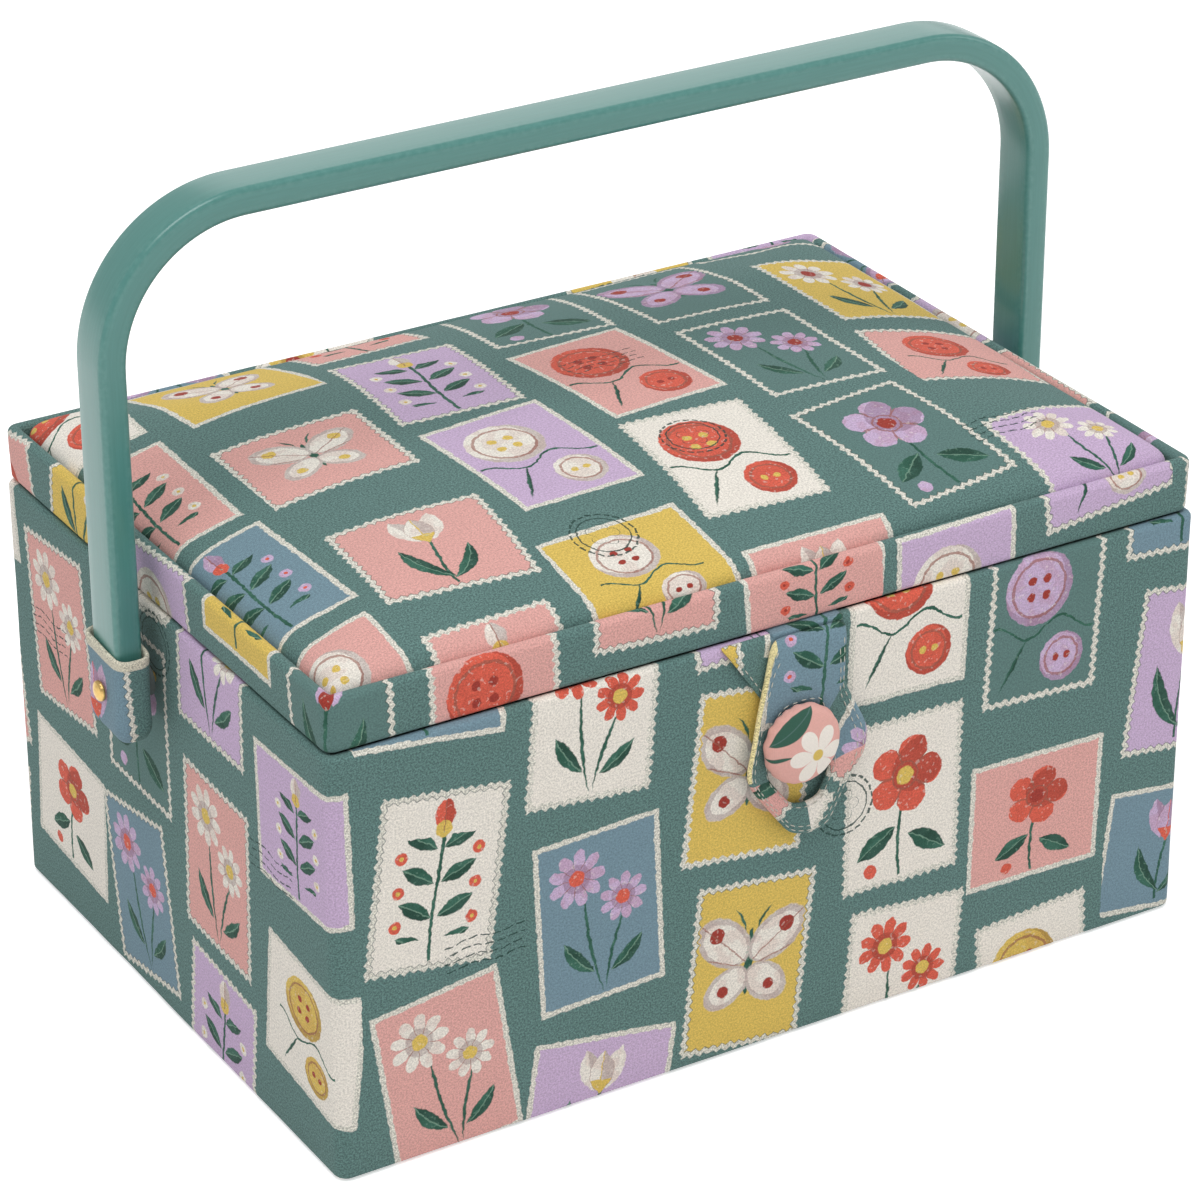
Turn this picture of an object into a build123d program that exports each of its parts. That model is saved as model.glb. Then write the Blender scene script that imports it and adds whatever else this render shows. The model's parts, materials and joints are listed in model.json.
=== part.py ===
from build123d import *
import math
import os

# Fabric sewing box: a card case covered in cloth, a padded lid, a bent handle, a loop and a button.
# Millimetres. The origin is the centre of the base on the floor, +Z is up, the front faces -Y.

# Case, measured over its cloth
BODY_WIDTH = 260.0
BODY_DEPTH = 184.0
BODY_HEIGHT = 120.8
CORNER_RADIUS = 3.5
BOARD = 2.6
CLOTH = 0.5
GLUE_LINE = 0.05
BASE_SHEET = 0.6
BASE_SHEET_INSET = 4.0
BASE_BOARD = 3.0
COVER_TURN_IN = 14.0
COVER_TURN_UNDER = 12.0

# Card liner that the tray sits on, and the padded floor
LINER = 1.8
LINER_DROP = 12.8
FLOOR_PAD = 2.5
FLOOR_PAD_EDGE = 1.0

# Lid, measured over its cloth; its back is flush with the case
SEAM = 1.0
LID_SIDE_INSET = 0.7
LID_FRONT_INSET = 1.2
RIM_HEIGHT = 14.8
LIP_ROUND = 1.6
PANEL_GROOVE = 0.4
PANEL_RADIUS = 4.0
PANEL_DROP = 3.6
LID_BOARD = 2.6
LID_LINING = 1.5

# Runs that stand for a quarter round, and sides of a turned form, where these are made of flat faces
CORNER_STEPS = 4
LIP_STEPS = 3
BUTTON_SIDES = 40
RIVET_SIDES = 24

# Crown of the padded lid, and how far in from the panel's edge it keeps rising
CROWN = 16.2
CROWN_REACH = 60.0
CROWN_POWER = 2.4
CROWN_INSETS = (0.0, 0.15, 0.7, 2.0, 4.4, 8.5, 15.0, 25.0, 40.0, 60.0)
CROWN_CORNER_GROWTH = 0.36
TOP_TURN_UNDER = 12.0

# Gathered pocket sewn to the lid's lining, with an elastic in its hem
POCKET_WIDTH = 176.0
POCKET_DEPTH = 96.0
POCKET_REAR_GAP = 32.0
POCKET_CLOTH = 1.0
POCKET_ROOM = 0.6
POCKET_SEAM = 5.0
HEM_WIDTH = 10.0
HEM_HEIGHT = 2.6
ELASTIC_WIDTH = 7.0
ELASTIC_THICKNESS = 1.0
CASING_GAP = 0.15

# Handle: a rounded bar bent to a wide arch
ARM_GAP = 5.7
HANDLE_RISE = 130.5
HANDLE_THICKNESS = 7.6
HANDLE_WIDTH = 14.2
HANDLE_BEND = 42.0
HANDLE_ROUND = 1.7
HANDLE_END_ROUND = 5.0
HANDLE_BELOW_PIVOT = 10.0
HANDLE_Y = 3.0
PIVOT_DROP = 19.8

# Cloth sleeve over each end of the handle
SLEEVE_HEIGHT = 25.0
SLEEVE_CLOTH = 1.3
SLEEVE_SLACK = 2.2
SLEEVE_ROUND = 5.2
RUNNING_GAP = 0.3

# Rivet, spacer and washer of each pivot
RIVET_SHANK = 3.0
RIVET_HOLE_GAP = 0.1
RIVET_HEAD = 5.6
RIVET_DOME = 1.7
RIVET_EDGE = 0.3
RIVET_SHOULDER = 0.9
SPACER_DIAMETER = 9.0
WASHER_DIAMETER = 8.0
WASHER = 0.5
CLINCH = 0.5
RECESS_GAP = 1.2

# Covered button on the front
CLOSURE_X = 2.0
BUTTON_DROP = 29.8
BUTTON_DIAMETER = 22.0
BUTTON_DOME = 5.6
BUTTON_EDGE = 1.6
BUTTON_SHOULDER = 2.4
BUTTON_SHELL = 0.4
BUTTON_CLOTH = 0.4
BUTTON_BACK = 0.8
BUTTON_STANDOFF = 4.4
SHANK_DIAMETER = 4.0

# Loop: a stitched band with a pointed end, hung from a tab under the lid's front rim
LOOP_THICKNESS = 2.0
LOOP_WALL_GAP = 0.6
LOOP_TOP_GAP = 0.3
LOOP_TOP_WIDTH = 24.0
LOOP_WIDEST = 37.0
LOOP_WIDEST_DROP = 5.0
LOOP_POINT_WIDTH = 13.0
LOOP_BELOW_BUTTON = 30.0
LOOP_SLOT_WIDTH = 16.0
LOOP_SLOT_ABOVE = 16.0
LOOP_SLOT_BELOW = 18.0
LOOP_CORNER = 5.0
LOOP_ROUND = 2.0
TAB_THICKNESS = 0.6
TAB_LENGTH = 9.0
TAB_WIDTH = 22.0

# Cloth hinge along the back
HINGE_WIDTH = 236.0
HINGE_CLOTH = 0.5
HINGE_ON_BODY = 22.0
HINGE_ON_LID = 11.0

# Moulded tray
TRAY_FLANGE = 1.5
TRAY_WALL = 1.3
TRAY_DEPTH = 26.0
TRAY_DRAFT = 3.0
TRAY_SIDE_GAP = 0.7
TRAY_FLANGE_WIDTH = 2.6
TRAY_CORNER = 6.0
TRAY_INNER_CORNER = 3.4
DIVIDER = 1.4
DIVIDER_DROP = 1.5
BACK_ROW_SHARE = 0.42
FRONT_ROW_CELLS = 4
BACK_ROW_CELLS = 2
FINGER_NOTCH = 22.0
FINGER_NOTCH_DEPTH = 7.0

# Places worked out from the sizes above
WALL_INSET = CLOTH + GLUE_LINE
WALL_INNER = WALL_INSET + BOARD
TURN_OUTER = WALL_INNER + GLUE_LINE
TURN_INNER = TURN_OUTER + CLOTH
LINER_OUTER = TURN_INNER + GLUE_LINE
LINER_INNER = LINER_OUTER + LINER
COVER_BOTTOM = BASE_SHEET
BOARD_BOTTOM = COVER_BOTTOM + CLOTH + GLUE_LINE
BOARD_TOP = BODY_HEIGHT - CLOTH - GLUE_LINE
FLOOR_TOP = BOARD_BOTTOM + BASE_BOARD
LID_BOTTOM = BODY_HEIGHT + SEAM
LID_TOP = LID_BOTTOM + RIM_HEIGHT
LID_WIDTH = BODY_WIDTH - 2 * LID_SIDE_INSET
LID_DEPTH = BODY_DEPTH - LID_FRONT_INSET
LID_Y = LID_FRONT_INSET / 2
RIM_THICKNESS = 2 * WALL_INSET + BOARD
PANEL_INSET = RIM_THICKNESS + PANEL_GROOVE
RIM_INNER_RADIUS = PANEL_RADIUS + PANEL_GROOVE
LID_BOARD_TOP = LID_TOP - PANEL_DROP
LID_BOARD_BOTTOM = LID_BOARD_TOP - LID_BOARD
LINING_TOP = LID_BOARD_BOTTOM - CLOTH - 2 * GLUE_LINE
LINING_BOTTOM = LINING_TOP - LID_LINING
HINGE_Z = BODY_HEIGHT + SEAM / 2
WALL_X = BODY_WIDTH / 2
ARM_INNER = WALL_X + ARM_GAP
ARM_OUTER = ARM_INNER + HANDLE_THICKNESS
LINER_TOP = BODY_HEIGHT - LINER_DROP
PIVOT_Z = BODY_HEIGHT - PIVOT_DROP
HANDLE_TOP = PIVOT_Z + HANDLE_RISE
BUTTON_Z = BODY_HEIGHT - BUTTON_DROP
LOOP_WIDEST_Z = BUTTON_Z - LOOP_WIDEST_DROP
LOOP_BOTTOM_Z = BUTTON_Z - LOOP_BELOW_BUTTON
LOOP_SLOT_TOP = BUTTON_Z + LOOP_SLOT_ABOVE
LOOP_SLOT_BOTTOM = BUTTON_Z - LOOP_SLOT_BELOW
WALL_FRONT = -BODY_DEPTH / 2
WALL_BACK = BODY_DEPTH / 2
SLEEVE_INNER = WALL_X + RUNNING_GAP
SLEEVE_OUTER = ARM_OUTER + GLUE_LINE + SLEEVE_CLOTH
RIVET_HOLE = RIVET_SHANK + 2 * RIVET_HOLE_GAP
BUTTON_Y = WALL_FRONT - BUTTON_STANDOFF


def rounded(width, depth, radius):
    """A rectangle sketch with rounded corners, or plain ones for a radius of nothing."""
    if radius <= 0.05:
        return Rectangle(width, depth)
    return RectangleRounded(width, depth, radius)


def block(width, depth, radius, low, high, y=0.0):
    """An upright block with rounded vertical corners between two heights."""
    return Pos(0, y, low) * extrude(rounded(width, depth, radius), high - low)


def stepped_corners(width, depth, radius, steps=CORNER_STEPS):
    """Corner points of a rectangle whose rounds are short runs, parallel for every size and radius."""
    points = []
    for turn, (side_x, side_y) in enumerate(((1, 1), (-1, 1), (-1, -1), (1, -1))):
        centre_x = side_x * (width / 2 - radius)
        centre_y = side_y * (depth / 2 - radius)
        for step in range(steps + 1):
            angle = math.radians(90 * (turn + step / steps))
            points.append((centre_x + radius * math.cos(angle), centre_y + radius * math.sin(angle)))
    return points


def flat_sided(levels):
    """A solid of flat faces between stacked outlines, each a height with its stepped corners."""
    rings = [[Vector(x, y, height) for x, y in corners] for height, corners in levels]
    faces = [Face(Wire.make_polygon(rings[0][::-1])), Face(Wire.make_polygon(rings[-1]))]
    for lower, upper in zip(rings, rings[1:]):
        for i, point in enumerate(lower):
            following = (i + 1) % len(lower)
            corners = [point, lower[following], upper[following], upper[i]]
            faces.append(Face(Wire.make_polygon(corners)))
    return Part(Solid(Shell(faces)).wrapped)


def turned(profile, sides):
    """A many-sided turned form from (radius, height) points, from its foot to its top."""
    levels = []
    for radius, height in profile:
        ring = []
        for side in range(sides):
            angle = math.tau * (side + 0.5) / sides
            ring.append((radius * math.cos(angle), radius * math.sin(angle)))
        levels.append((height, ring))
    return flat_sided(levels)


def case_block(inset, low, high):
    """The case's outline moved in by inset, as a block."""
    radius = CORNER_RADIUS - inset
    return block(BODY_WIDTH - 2 * inset, BODY_DEPTH - 2 * inset, radius, low, high)


def lid_block(inset, low, high, radius=None):
    """The lid's outline moved in by inset, as a block; the inner corners take their own radius."""
    if radius is None:
        radius = CORNER_RADIUS - inset
    return block(LID_WIDTH - 2 * inset, LID_DEPTH - 2 * inset, radius, low, high, LID_Y)


def along_x(diameter, x_low, x_high, y, z):
    """A round bar along X."""
    bar = Rot(0, 90, 0) * Cylinder(diameter / 2, x_high - x_low)
    return Pos((x_low + x_high) / 2, y, z) * bar


def along_y(diameter, y_low, y_high, x, z):
    """A round bar along Y."""
    bar = Rot(90, 0, 0) * Cylinder(diameter / 2, y_high - y_low)
    return Pos(x, (y_low + y_high) / 2, z) * bar


def pivot_bars(diameter, x_low, x_high):
    """The same bar at both pivots; x_low and x_high are distances from the middle."""
    right = along_x(diameter, x_low, x_high, HANDLE_Y, PIVOT_Z)
    return right, mirror(right, Plane.YZ)


def cut_each(solid, tools):
    """Cut every tool from a solid."""
    for tool in tools:
        solid = solid - tool
    return solid


def walls(outline, inner_inset, low, high):
    """Front, back, left and right boards between two insets of an outline, butted at the corners."""
    ring = outline(WALL_INSET, low, high) - outline(inner_inset, low, high)
    box = outline(inner_inset, low, high).bounding_box()
    middle_y = (box.min.Y + box.max.Y) / 2
    long = 2 * BODY_WIDTH
    side_slab = Pos(0, middle_y, (low + high) / 2) * Box(long, box.max.Y - box.min.Y, high - low)
    front_back = ring - side_slab
    side_gap = Pos(0, middle_y, (low + high) / 2) * Box(
        long, box.max.Y - box.min.Y - 2 * GLUE_LINE, high - low)
    sides = ring & side_gap
    ends = sorted(front_back.solids(), key=lambda piece: piece.center().Y)
    flanks = sorted(sides.solids(), key=lambda piece: piece.center().X)
    return ends[0], ends[-1], flanks[0], flanks[-1]


def make_case():
    """Boards, cloth, base sheet, liner and padded floor of the case."""
    front, back, left, right = walls(case_block, WALL_INNER, BOARD_BOTTOM, BOARD_TOP)
    rivet_holes = pivot_bars(RIVET_HOLE, WALL_X / 2, SLEEVE_OUTER)
    button_hole = along_y(SHANK_DIAMETER + 2 * GLUE_LINE, BUTTON_Y, WALL_FRONT / 2, CLOSURE_X, BUTTON_Z)
    left = left - rivet_holes[1]
    right = right - rivet_holes[0]
    front = front - button_hole

    cover = case_block(0, COVER_BOTTOM, BODY_HEIGHT)
    turn_bottom = BODY_HEIGHT - COVER_TURN_IN
    cover = cover - case_block(CLOTH, COVER_BOTTOM + CLOTH, turn_bottom)
    board_room = case_block(CLOTH, turn_bottom, BODY_HEIGHT - CLOTH)
    board_room = board_room - case_block(TURN_OUTER, turn_bottom, BODY_HEIGHT - CLOTH)
    cover = cover - board_room - case_block(TURN_INNER, turn_bottom, BODY_HEIGHT)
    cover = cover - case_block(CLOTH + COVER_TURN_UNDER, COVER_BOTTOM, COVER_BOTTOM + CLOTH)
    cover = cut_each(cover, rivet_holes + (button_hole,))

    base = case_block(WALL_INNER + GLUE_LINE, BOARD_BOTTOM, FLOOR_TOP)
    sheet = case_block(BASE_SHEET_INSET, 0, BASE_SHEET)

    liner = case_block(LINER_OUTER, FLOOR_TOP, LINER_TOP) - case_block(LINER_INNER, FLOOR_TOP, LINER_TOP)
    liner_face = WALL_X - LINER_OUTER
    clinch_depth = WASHER + CLINCH - (LINER_OUTER - WALL_INNER) + RUNNING_GAP
    recess = WASHER_DIAMETER + 2 * RECESS_GAP
    liner = cut_each(liner, pivot_bars(recess, liner_face - clinch_depth, liner_face + 1))
    front_face = WALL_FRONT + LINER_OUTER
    liner = liner - along_y(recess, front_face - 1, front_face + clinch_depth, CLOSURE_X, BUTTON_Z)

    pad_width = BODY_WIDTH - 2 * (LINER_INNER + GLUE_LINE)
    pad_depth = BODY_DEPTH - 2 * (LINER_INNER + GLUE_LINE)
    pad = Pos(0, 0, FLOOR_TOP + FLOOR_PAD / 2) * Box(pad_width, pad_depth, FLOOR_PAD)
    pad = fillet(pad.faces().sort_by(Axis.Z)[-1].edges(), FLOOR_PAD_EDGE)
    return {
        "base_board": base,
        "front_board": front,
        "back_board": back,
        "left_board": left,
        "right_board": right,
        "body_cover": cover,
        "base_sheet": sheet,
        "body_liner": liner,
        "floor_pad": pad,
    }


def crown_height(inset):
    """Rise of the padded lid above its board at a distance in from the panel's edge."""
    share = min(inset / CROWN_REACH, 1.0)
    return CROWN * (1 - (1 - share) ** CROWN_POWER) ** (1 / CROWN_POWER)


def crowned_pad(grow):
    """The pad's crowned form on the lid board, grown outwards by the cloth's thickness."""
    levels = []
    for inset in CROWN_INSETS:
        width = LID_WIDTH - 2 * (PANEL_INSET + CLOTH + inset - grow)
        depth = LID_DEPTH - 2 * (PANEL_INSET + CLOTH + inset - grow)
        radius = PANEL_RADIUS - CLOTH + grow + CROWN_CORNER_GROWTH * inset
        height = LID_BOARD_TOP + crown_height(inset)
        if inset > 0:
            height = height + grow
        levels.append((height, stepped_corners(width, depth, radius)))
    return Pos(0, LID_Y, 0) * flat_sided(levels)


def lip_form(inset, radius, side):
    """The rim's outer (side 1) or inner (side -1) form, with its share of the rounded upper lip."""
    levels = [(LID_BOTTOM, 0.0), (LID_TOP - LIP_ROUND, 0.0)]
    for step in range(1, LIP_STEPS + 1):
        angle = math.radians(90) * step / LIP_STEPS
        levels.append((LID_TOP - LIP_ROUND * (1 - math.sin(angle)), LIP_ROUND * (1 - math.cos(angle))))
    outlines = []
    for height, roll in levels:
        drawn_in = inset + side * roll
        corners = stepped_corners(LID_WIDTH - 2 * drawn_in, LID_DEPTH - 2 * drawn_in, radius - side * roll)
        outlines.append((height, corners))
    return Pos(0, LID_Y, 0) * flat_sided(outlines)


def panel_block(inset, low, high):
    """The lid panel's outline moved in by inset, as a block."""
    width = LID_WIDTH - 2 * (PANEL_INSET + inset)
    depth = LID_DEPTH - 2 * (PANEL_INSET + inset)
    return block(width, depth, PANEL_RADIUS - inset, low, high, LID_Y)


def make_lid():
    """Rim strips with their cloth, the padded top panel, the lining and the pocket."""
    strip_top = LID_TOP - LIP_ROUND - GLUE_LINE
    strip_bottom = LID_BOTTOM + CLOTH + GLUE_LINE
    strip_inner = WALL_INSET + BOARD
    front, back, left, right = walls(lid_block, strip_inner, strip_bottom, strip_top)

    rim = lip_form(0, CORNER_RADIUS, 1) - lip_form(RIM_THICKNESS, RIM_INNER_RADIUS, -1)
    strip_room = lid_block(CLOTH, strip_bottom - GLUE_LINE, strip_top + GLUE_LINE)
    strip_room = strip_room - lid_block(RIM_THICKNESS - CLOTH, strip_bottom - GLUE_LINE, strip_top + GLUE_LINE)
    rim = rim - strip_room

    board = panel_block(CLOTH + GLUE_LINE, LID_BOARD_BOTTOM, LID_BOARD_TOP - GLUE_LINE)
    under = LID_BOARD_BOTTOM - GLUE_LINE
    top_cover = crowned_pad(CLOTH) - crowned_pad(0)
    side = panel_block(0, under - CLOTH, LID_BOARD_TOP)
    side = side - panel_block(CLOTH, under, LID_BOARD_TOP)
    side = side - panel_block(TOP_TURN_UNDER, under - CLOTH, under)
    top_cover = top_cover + side

    lining = lid_block(RIM_THICKNESS + PANEL_GROOVE, LINING_BOTTOM, LINING_TOP, PANEL_RADIUS)
    lining = chamfer(lining.faces().sort_by(Axis.Z)[0].edges(), LID_LINING / 3)

    tab_y = -LID_DEPTH / 2 + LID_Y - LOOP_THICKNESS / 2
    tab_z = BODY_HEIGHT + SEAM / 2
    tab = Pos(CLOSURE_X, tab_y + TAB_LENGTH / 2, tab_z) * Box(TAB_WIDTH, TAB_LENGTH, TAB_THICKNESS)
    tab = fillet(tab.edges().filter_by(Axis.X).sort_by(Axis.Y)[:2], TAB_THICKNESS / 3)
    pocket, elastic = make_pocket()
    return {
        "lid_board": board,
        "lid_front_strip": front,
        "lid_back_strip": back,
        "lid_left_strip": left,
        "lid_right_strip": right,
        "lid_rim_cover": rim,
        "lid_pad": crowned_pad(0),
        "lid_top_cover": top_cover,
        "lid_lining": lining,
        "lid_pocket": pocket,
        "pocket_elastic": elastic,
        "loop_tab": tab,
    }


def make_pocket():
    """A pocket sewn to the lining on three sides, open to the front, with elastic in its hem."""
    rear = LID_DEPTH / 2 + LID_Y - POCKET_REAR_GAP
    mouth = rear - POCKET_DEPTH
    seat = LINING_BOTTOM - GLUE_LINE
    thickness = POCKET_CLOTH + POCKET_ROOM
    panel = Pos(0, (mouth + rear) / 2, seat - thickness / 2) * Box(POCKET_WIDTH, POCKET_DEPTH, thickness)
    rear_corners = panel.edges().filter_by(Axis.Z).sort_by(Axis.Y)[-2:]
    panel = fillet(rear_corners, POCKET_SEAM)
    hem_y = mouth + HEM_WIDTH / 2
    hem_low = seat - POCKET_ROOM - HEM_HEIGHT
    hem = Pos(0, hem_y, hem_low + HEM_HEIGHT / 2) * Box(POCKET_WIDTH, HEM_WIDTH, HEM_HEIGHT)
    hem = fillet(hem.edges().filter_by(Axis.X), HEM_HEIGHT / 3)
    pocket = panel + hem
    room_depth = POCKET_DEPTH - POCKET_SEAM
    room = Pos(0, mouth + room_depth / 2, seat - POCKET_ROOM / 2) * Box(
        POCKET_WIDTH - 2 * POCKET_SEAM, room_depth, POCKET_ROOM)
    casing = Pos(0, hem_y, hem_low + HEM_HEIGHT / 2) * Box(
        POCKET_WIDTH, ELASTIC_WIDTH + 2 * CASING_GAP, ELASTIC_THICKNESS + 2 * CASING_GAP)
    pocket = pocket - room - casing
    elastic = Pos(0, hem_y, hem_low + HEM_HEIGHT / 2) * Box(
        POCKET_WIDTH - 2 * CASING_GAP, ELASTIC_WIDTH, ELASTIC_THICKNESS)
    return pocket, elastic


def make_hinge():
    """The cloth hinge glued over the back of the case and of the lid's rim."""
    low = HINGE_Z - HINGE_ON_BODY
    high = HINGE_Z + HINGE_ON_LID
    y = WALL_BACK + GLUE_LINE + HINGE_CLOTH / 2
    return {"hinge_cloth": Pos(0, y, (low + high) / 2) * Box(HINGE_WIDTH, HINGE_CLOTH, high - low)}


def make_handle():
    """The bent bar, its sleeves and the spacers beside the wall."""
    foot = PIVOT_Z - HANDLE_BELOW_PIVOT
    middle = ARM_OUTER - HANDLE_THICKNESS / 2
    bend_x = ARM_OUTER - HANDLE_BEND
    bend_z = HANDLE_TOP - HANDLE_BEND
    corners = stepped_corners(HANDLE_THICKNESS, HANDLE_WIDTH, HANDLE_ROUND)
    section = Pos(middle, HANDLE_Y, bend_z) * make_face(Polyline(*corners, close=True))
    arm = extrude(section, bend_z - foot, dir=(0, 0, -1))
    bend_axis = Axis((bend_x, HANDLE_Y, bend_z), (0, -1, 0))
    bend = revolve(section, bend_axis, 90)
    span_end = Rot(0, -90, 0) * make_face(Polyline(*corners, close=True))
    span = Pos(bend_x, HANDLE_Y, HANDLE_TOP - HANDLE_THICKNESS / 2) * span_end
    half = arm + bend + extrude(span, bend_x, dir=(-1, 0, 0))
    bar = half + mirror(half, Plane.YZ)
    holes = pivot_bars(RIVET_HOLE, ARM_INNER - 1, ARM_OUTER + 1)
    tall = 2 * (HANDLE_TOP - foot)
    end_form = RectangleRounded(HANDLE_WIDTH + 2 * GLUE_LINE, tall, HANDLE_END_ROUND)
    upright = Plane(origin=(0, HANDLE_Y, foot + tall / 2), x_dir=(0, 1, 0), z_dir=(1, 0, 0))
    bar = bar & extrude(upright * end_form, 2 * ARM_OUTER, both=True)
    bar = cut_each(bar, holes)

    depth = HANDLE_WIDTH + 2 * (SLEEVE_SLACK + SLEEVE_CLOTH)
    width = SLEEVE_OUTER - SLEEVE_INNER
    outer = make_face(Polyline(*stepped_corners(width, depth, SLEEVE_ROUND), close=True))
    inner_corners = stepped_corners(width - 2 * SLEEVE_CLOTH, depth - 2 * SLEEVE_CLOTH, SLEEVE_ROUND - SLEEVE_CLOTH)
    inner = make_face(Polyline(*inner_corners, close=True))
    middle_x = (SLEEVE_OUTER + SLEEVE_INNER) / 2
    sleeve = Pos(middle_x, HANDLE_Y, PIVOT_Z - SLEEVE_HEIGHT / 2) * extrude(outer - inner, SLEEVE_HEIGHT)
    sleeve = sleeve - pivot_bars(RIVET_HOLE, SLEEVE_INNER - 1, SLEEVE_OUTER + 1)[0]
    spacer_low = SLEEVE_INNER + SLEEVE_CLOTH + GLUE_LINE
    spacers = []
    for disc, hole in zip(pivot_bars(SPACER_DIAMETER, spacer_low, ARM_INNER - GLUE_LINE),
                          pivot_bars(RIVET_HOLE, spacer_low - 1, ARM_INNER + 1)):
        spacers.append(disc - hole)
    return {
        "handle_bar": bar,
        "strap_right": sleeve,
        "strap_left": mirror(sleeve, Plane.YZ),
        "pivot_spacers": Compound(spacers),
    }


def dome_form(radius, height, edge, shoulder, sides):
    """A turned dome on z = 0: an upright edge, a tight shoulder and a flat crown that meets it smoothly."""
    shoulder_x = radius - shoulder
    rise = height - edge
    crown = (shoulder_x ** 2 + rise ** 2 - shoulder ** 2) / (2 * (rise - shoulder))
    crown_z = height - crown
    lean = math.atan2(shoulder_x, edge - crown_z)
    profile = [(radius, 0), (radius, edge)]
    for share in (0.34, 0.67, 1.0):
        angle = math.radians(90) - share * (math.radians(90) - lean)
        profile.append((shoulder_x + shoulder * math.sin(angle), edge + shoulder * math.cos(angle)))
    for share in (0.6, 0.2):
        profile.append((crown * math.sin(lean * share), crown_z + crown * math.cos(lean * share)))
    return turned(profile, sides)


def stamped_form(radius, height, edge):
    """The metal shell's coned outline on z = 0, with a flat top."""
    shoulder = (radius * 0.78, edge + (height - edge) * 0.58)
    return turned([(radius, 0), (radius, edge), shoulder, (radius * 0.3, height)], BUTTON_SIDES)


def make_rivets():
    """Brass rivets through sleeve, arm and wall, and their washers under the liner."""
    inner_end = WALL_X - WALL_INNER - WASHER - CLINCH
    seat = SLEEVE_OUTER + RUNNING_GAP
    head = Pos(seat, HANDLE_Y, PIVOT_Z) * Rot(0, 90, 0) * dome_form(
        RIVET_HEAD / 2, RIVET_DOME, RIVET_EDGE, RIVET_SHOULDER, RIVET_SIDES)
    shank = along_x(RIVET_SHANK, inner_end, seat, HANDLE_Y, PIVOT_Z)
    clinch = along_x(RIVET_SHANK * 1.6, inner_end, inner_end + CLINCH, HANDLE_Y, PIVOT_Z)
    rivet = shank + head + clinch
    washer_low = inner_end + CLINCH
    washer = along_x(WASHER_DIAMETER, washer_low, washer_low + WASHER - GLUE_LINE, HANDLE_Y, PIVOT_Z)
    washer = washer - along_x(RIVET_SHANK + 2 * GLUE_LINE, washer_low - 1, washer_low + 1, HANDLE_Y, PIVOT_Z)
    return {
        "handle_rivets": Compound([rivet, mirror(rivet, Plane.YZ)]),
        "rivet_washers": Compound([washer, mirror(washer, Plane.YZ)]),
    }


def make_button():
    """The cloth-covered dome button, its shank and the anchor inside the wall."""
    face_front = Pos(CLOSURE_X, BUTTON_Y, BUTTON_Z) * Rot(90, 0, 0)
    radius = BUTTON_DIAMETER / 2
    shell_radius = radius - BUTTON_CLOTH
    shell_height = BUTTON_DOME - BUTTON_CLOTH
    cavity_radius = shell_radius - BUTTON_SHELL
    cloth = dome_form(radius, BUTTON_DOME, BUTTON_EDGE, BUTTON_SHOULDER, BUTTON_SIDES)
    cloth = cloth - stamped_form(shell_radius, shell_height, BUTTON_EDGE)
    shell = stamped_form(shell_radius - GLUE_LINE, shell_height - GLUE_LINE, BUTTON_EDGE)
    shell = shell - turned([(cavity_radius, -BUTTON_EDGE), (cavity_radius, BUTTON_EDGE)], BUTTON_SIDES)
    back = Cylinder(cavity_radius - GLUE_LINE, BUTTON_BACK)
    back = Pos(0, 0, BUTTON_BACK / 2) * back
    inner_end = WALL_FRONT + WALL_INNER + WASHER + CLINCH
    shank = along_y(SHANK_DIAMETER, BUTTON_Y, inner_end, CLOSURE_X, BUTTON_Z)
    anchor = along_y(WASHER_DIAMETER, inner_end - CLINCH - WASHER + GLUE_LINE, inner_end - CLINCH,
                     CLOSURE_X, BUTTON_Z)
    anchor = anchor - along_y(SHANK_DIAMETER + 2 * GLUE_LINE, BUTTON_Y, 0, CLOSURE_X, BUTTON_Z)
    return {
        "button_cloth": face_front * cloth,
        "button_shell": face_front * shell,
        "button_back": face_front * back,
        "button_shank": shank,
        "button_anchor": anchor,
    }


def make_loop():
    """The closure loop: a flat band with a slot for the button and a pointed lower end."""
    top = BODY_HEIGHT + SEAM / 2 - TAB_THICKNESS / 2 - LOOP_TOP_GAP
    half_top = LOOP_TOP_WIDTH / 2
    half_wide = LOOP_WIDEST / 2
    half_point = LOOP_POINT_WIDTH / 2
    shoulder = LOOP_WIDEST_Z - LOOP_CORNER
    outline = Polyline(
        (-half_top, top), (-half_wide, LOOP_WIDEST_Z), (-half_wide, shoulder), (-half_point, LOOP_BOTTOM_Z),
        (half_point, LOOP_BOTTOM_Z), (half_wide, shoulder), (half_wide, LOOP_WIDEST_Z), (half_top, top),
        close=True)
    face = make_face(outline)
    slot_height = LOOP_SLOT_TOP - LOOP_SLOT_BOTTOM
    slot = Pos(0, (LOOP_SLOT_TOP + LOOP_SLOT_BOTTOM) / 2) * RectangleRounded(
        LOOP_SLOT_WIDTH, slot_height, LOOP_SLOT_WIDTH * 0.45)
    upright = Plane(origin=(CLOSURE_X, WALL_FRONT - LOOP_WALL_GAP, 0), x_dir=(1, 0, 0), z_dir=(0, -1, 0))
    band = extrude(upright * (face - slot), LOOP_THICKNESS)
    corners = band.edges().filter_by(Axis.Y)
    band = fillet(corners.filter_by(lambda edge: edge.center().Z < LOOP_WIDEST_Z - 1
                                    and abs(edge.center().X - CLOSURE_X) > LOOP_SLOT_WIDTH / 2), LOOP_ROUND)
    return {"closure_loop": band}


def drafted(width, depth, radius, low, high):
    """A drafted block of flat faces, given by its outline at the top."""
    slope = math.tan(math.radians(TRAY_DRAFT)) * (high - low)
    floor = stepped_corners(width - 2 * slope, depth - 2 * slope, radius - slope)
    return flat_sided([(low, floor), (high, stepped_corners(width, depth, radius))])


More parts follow.
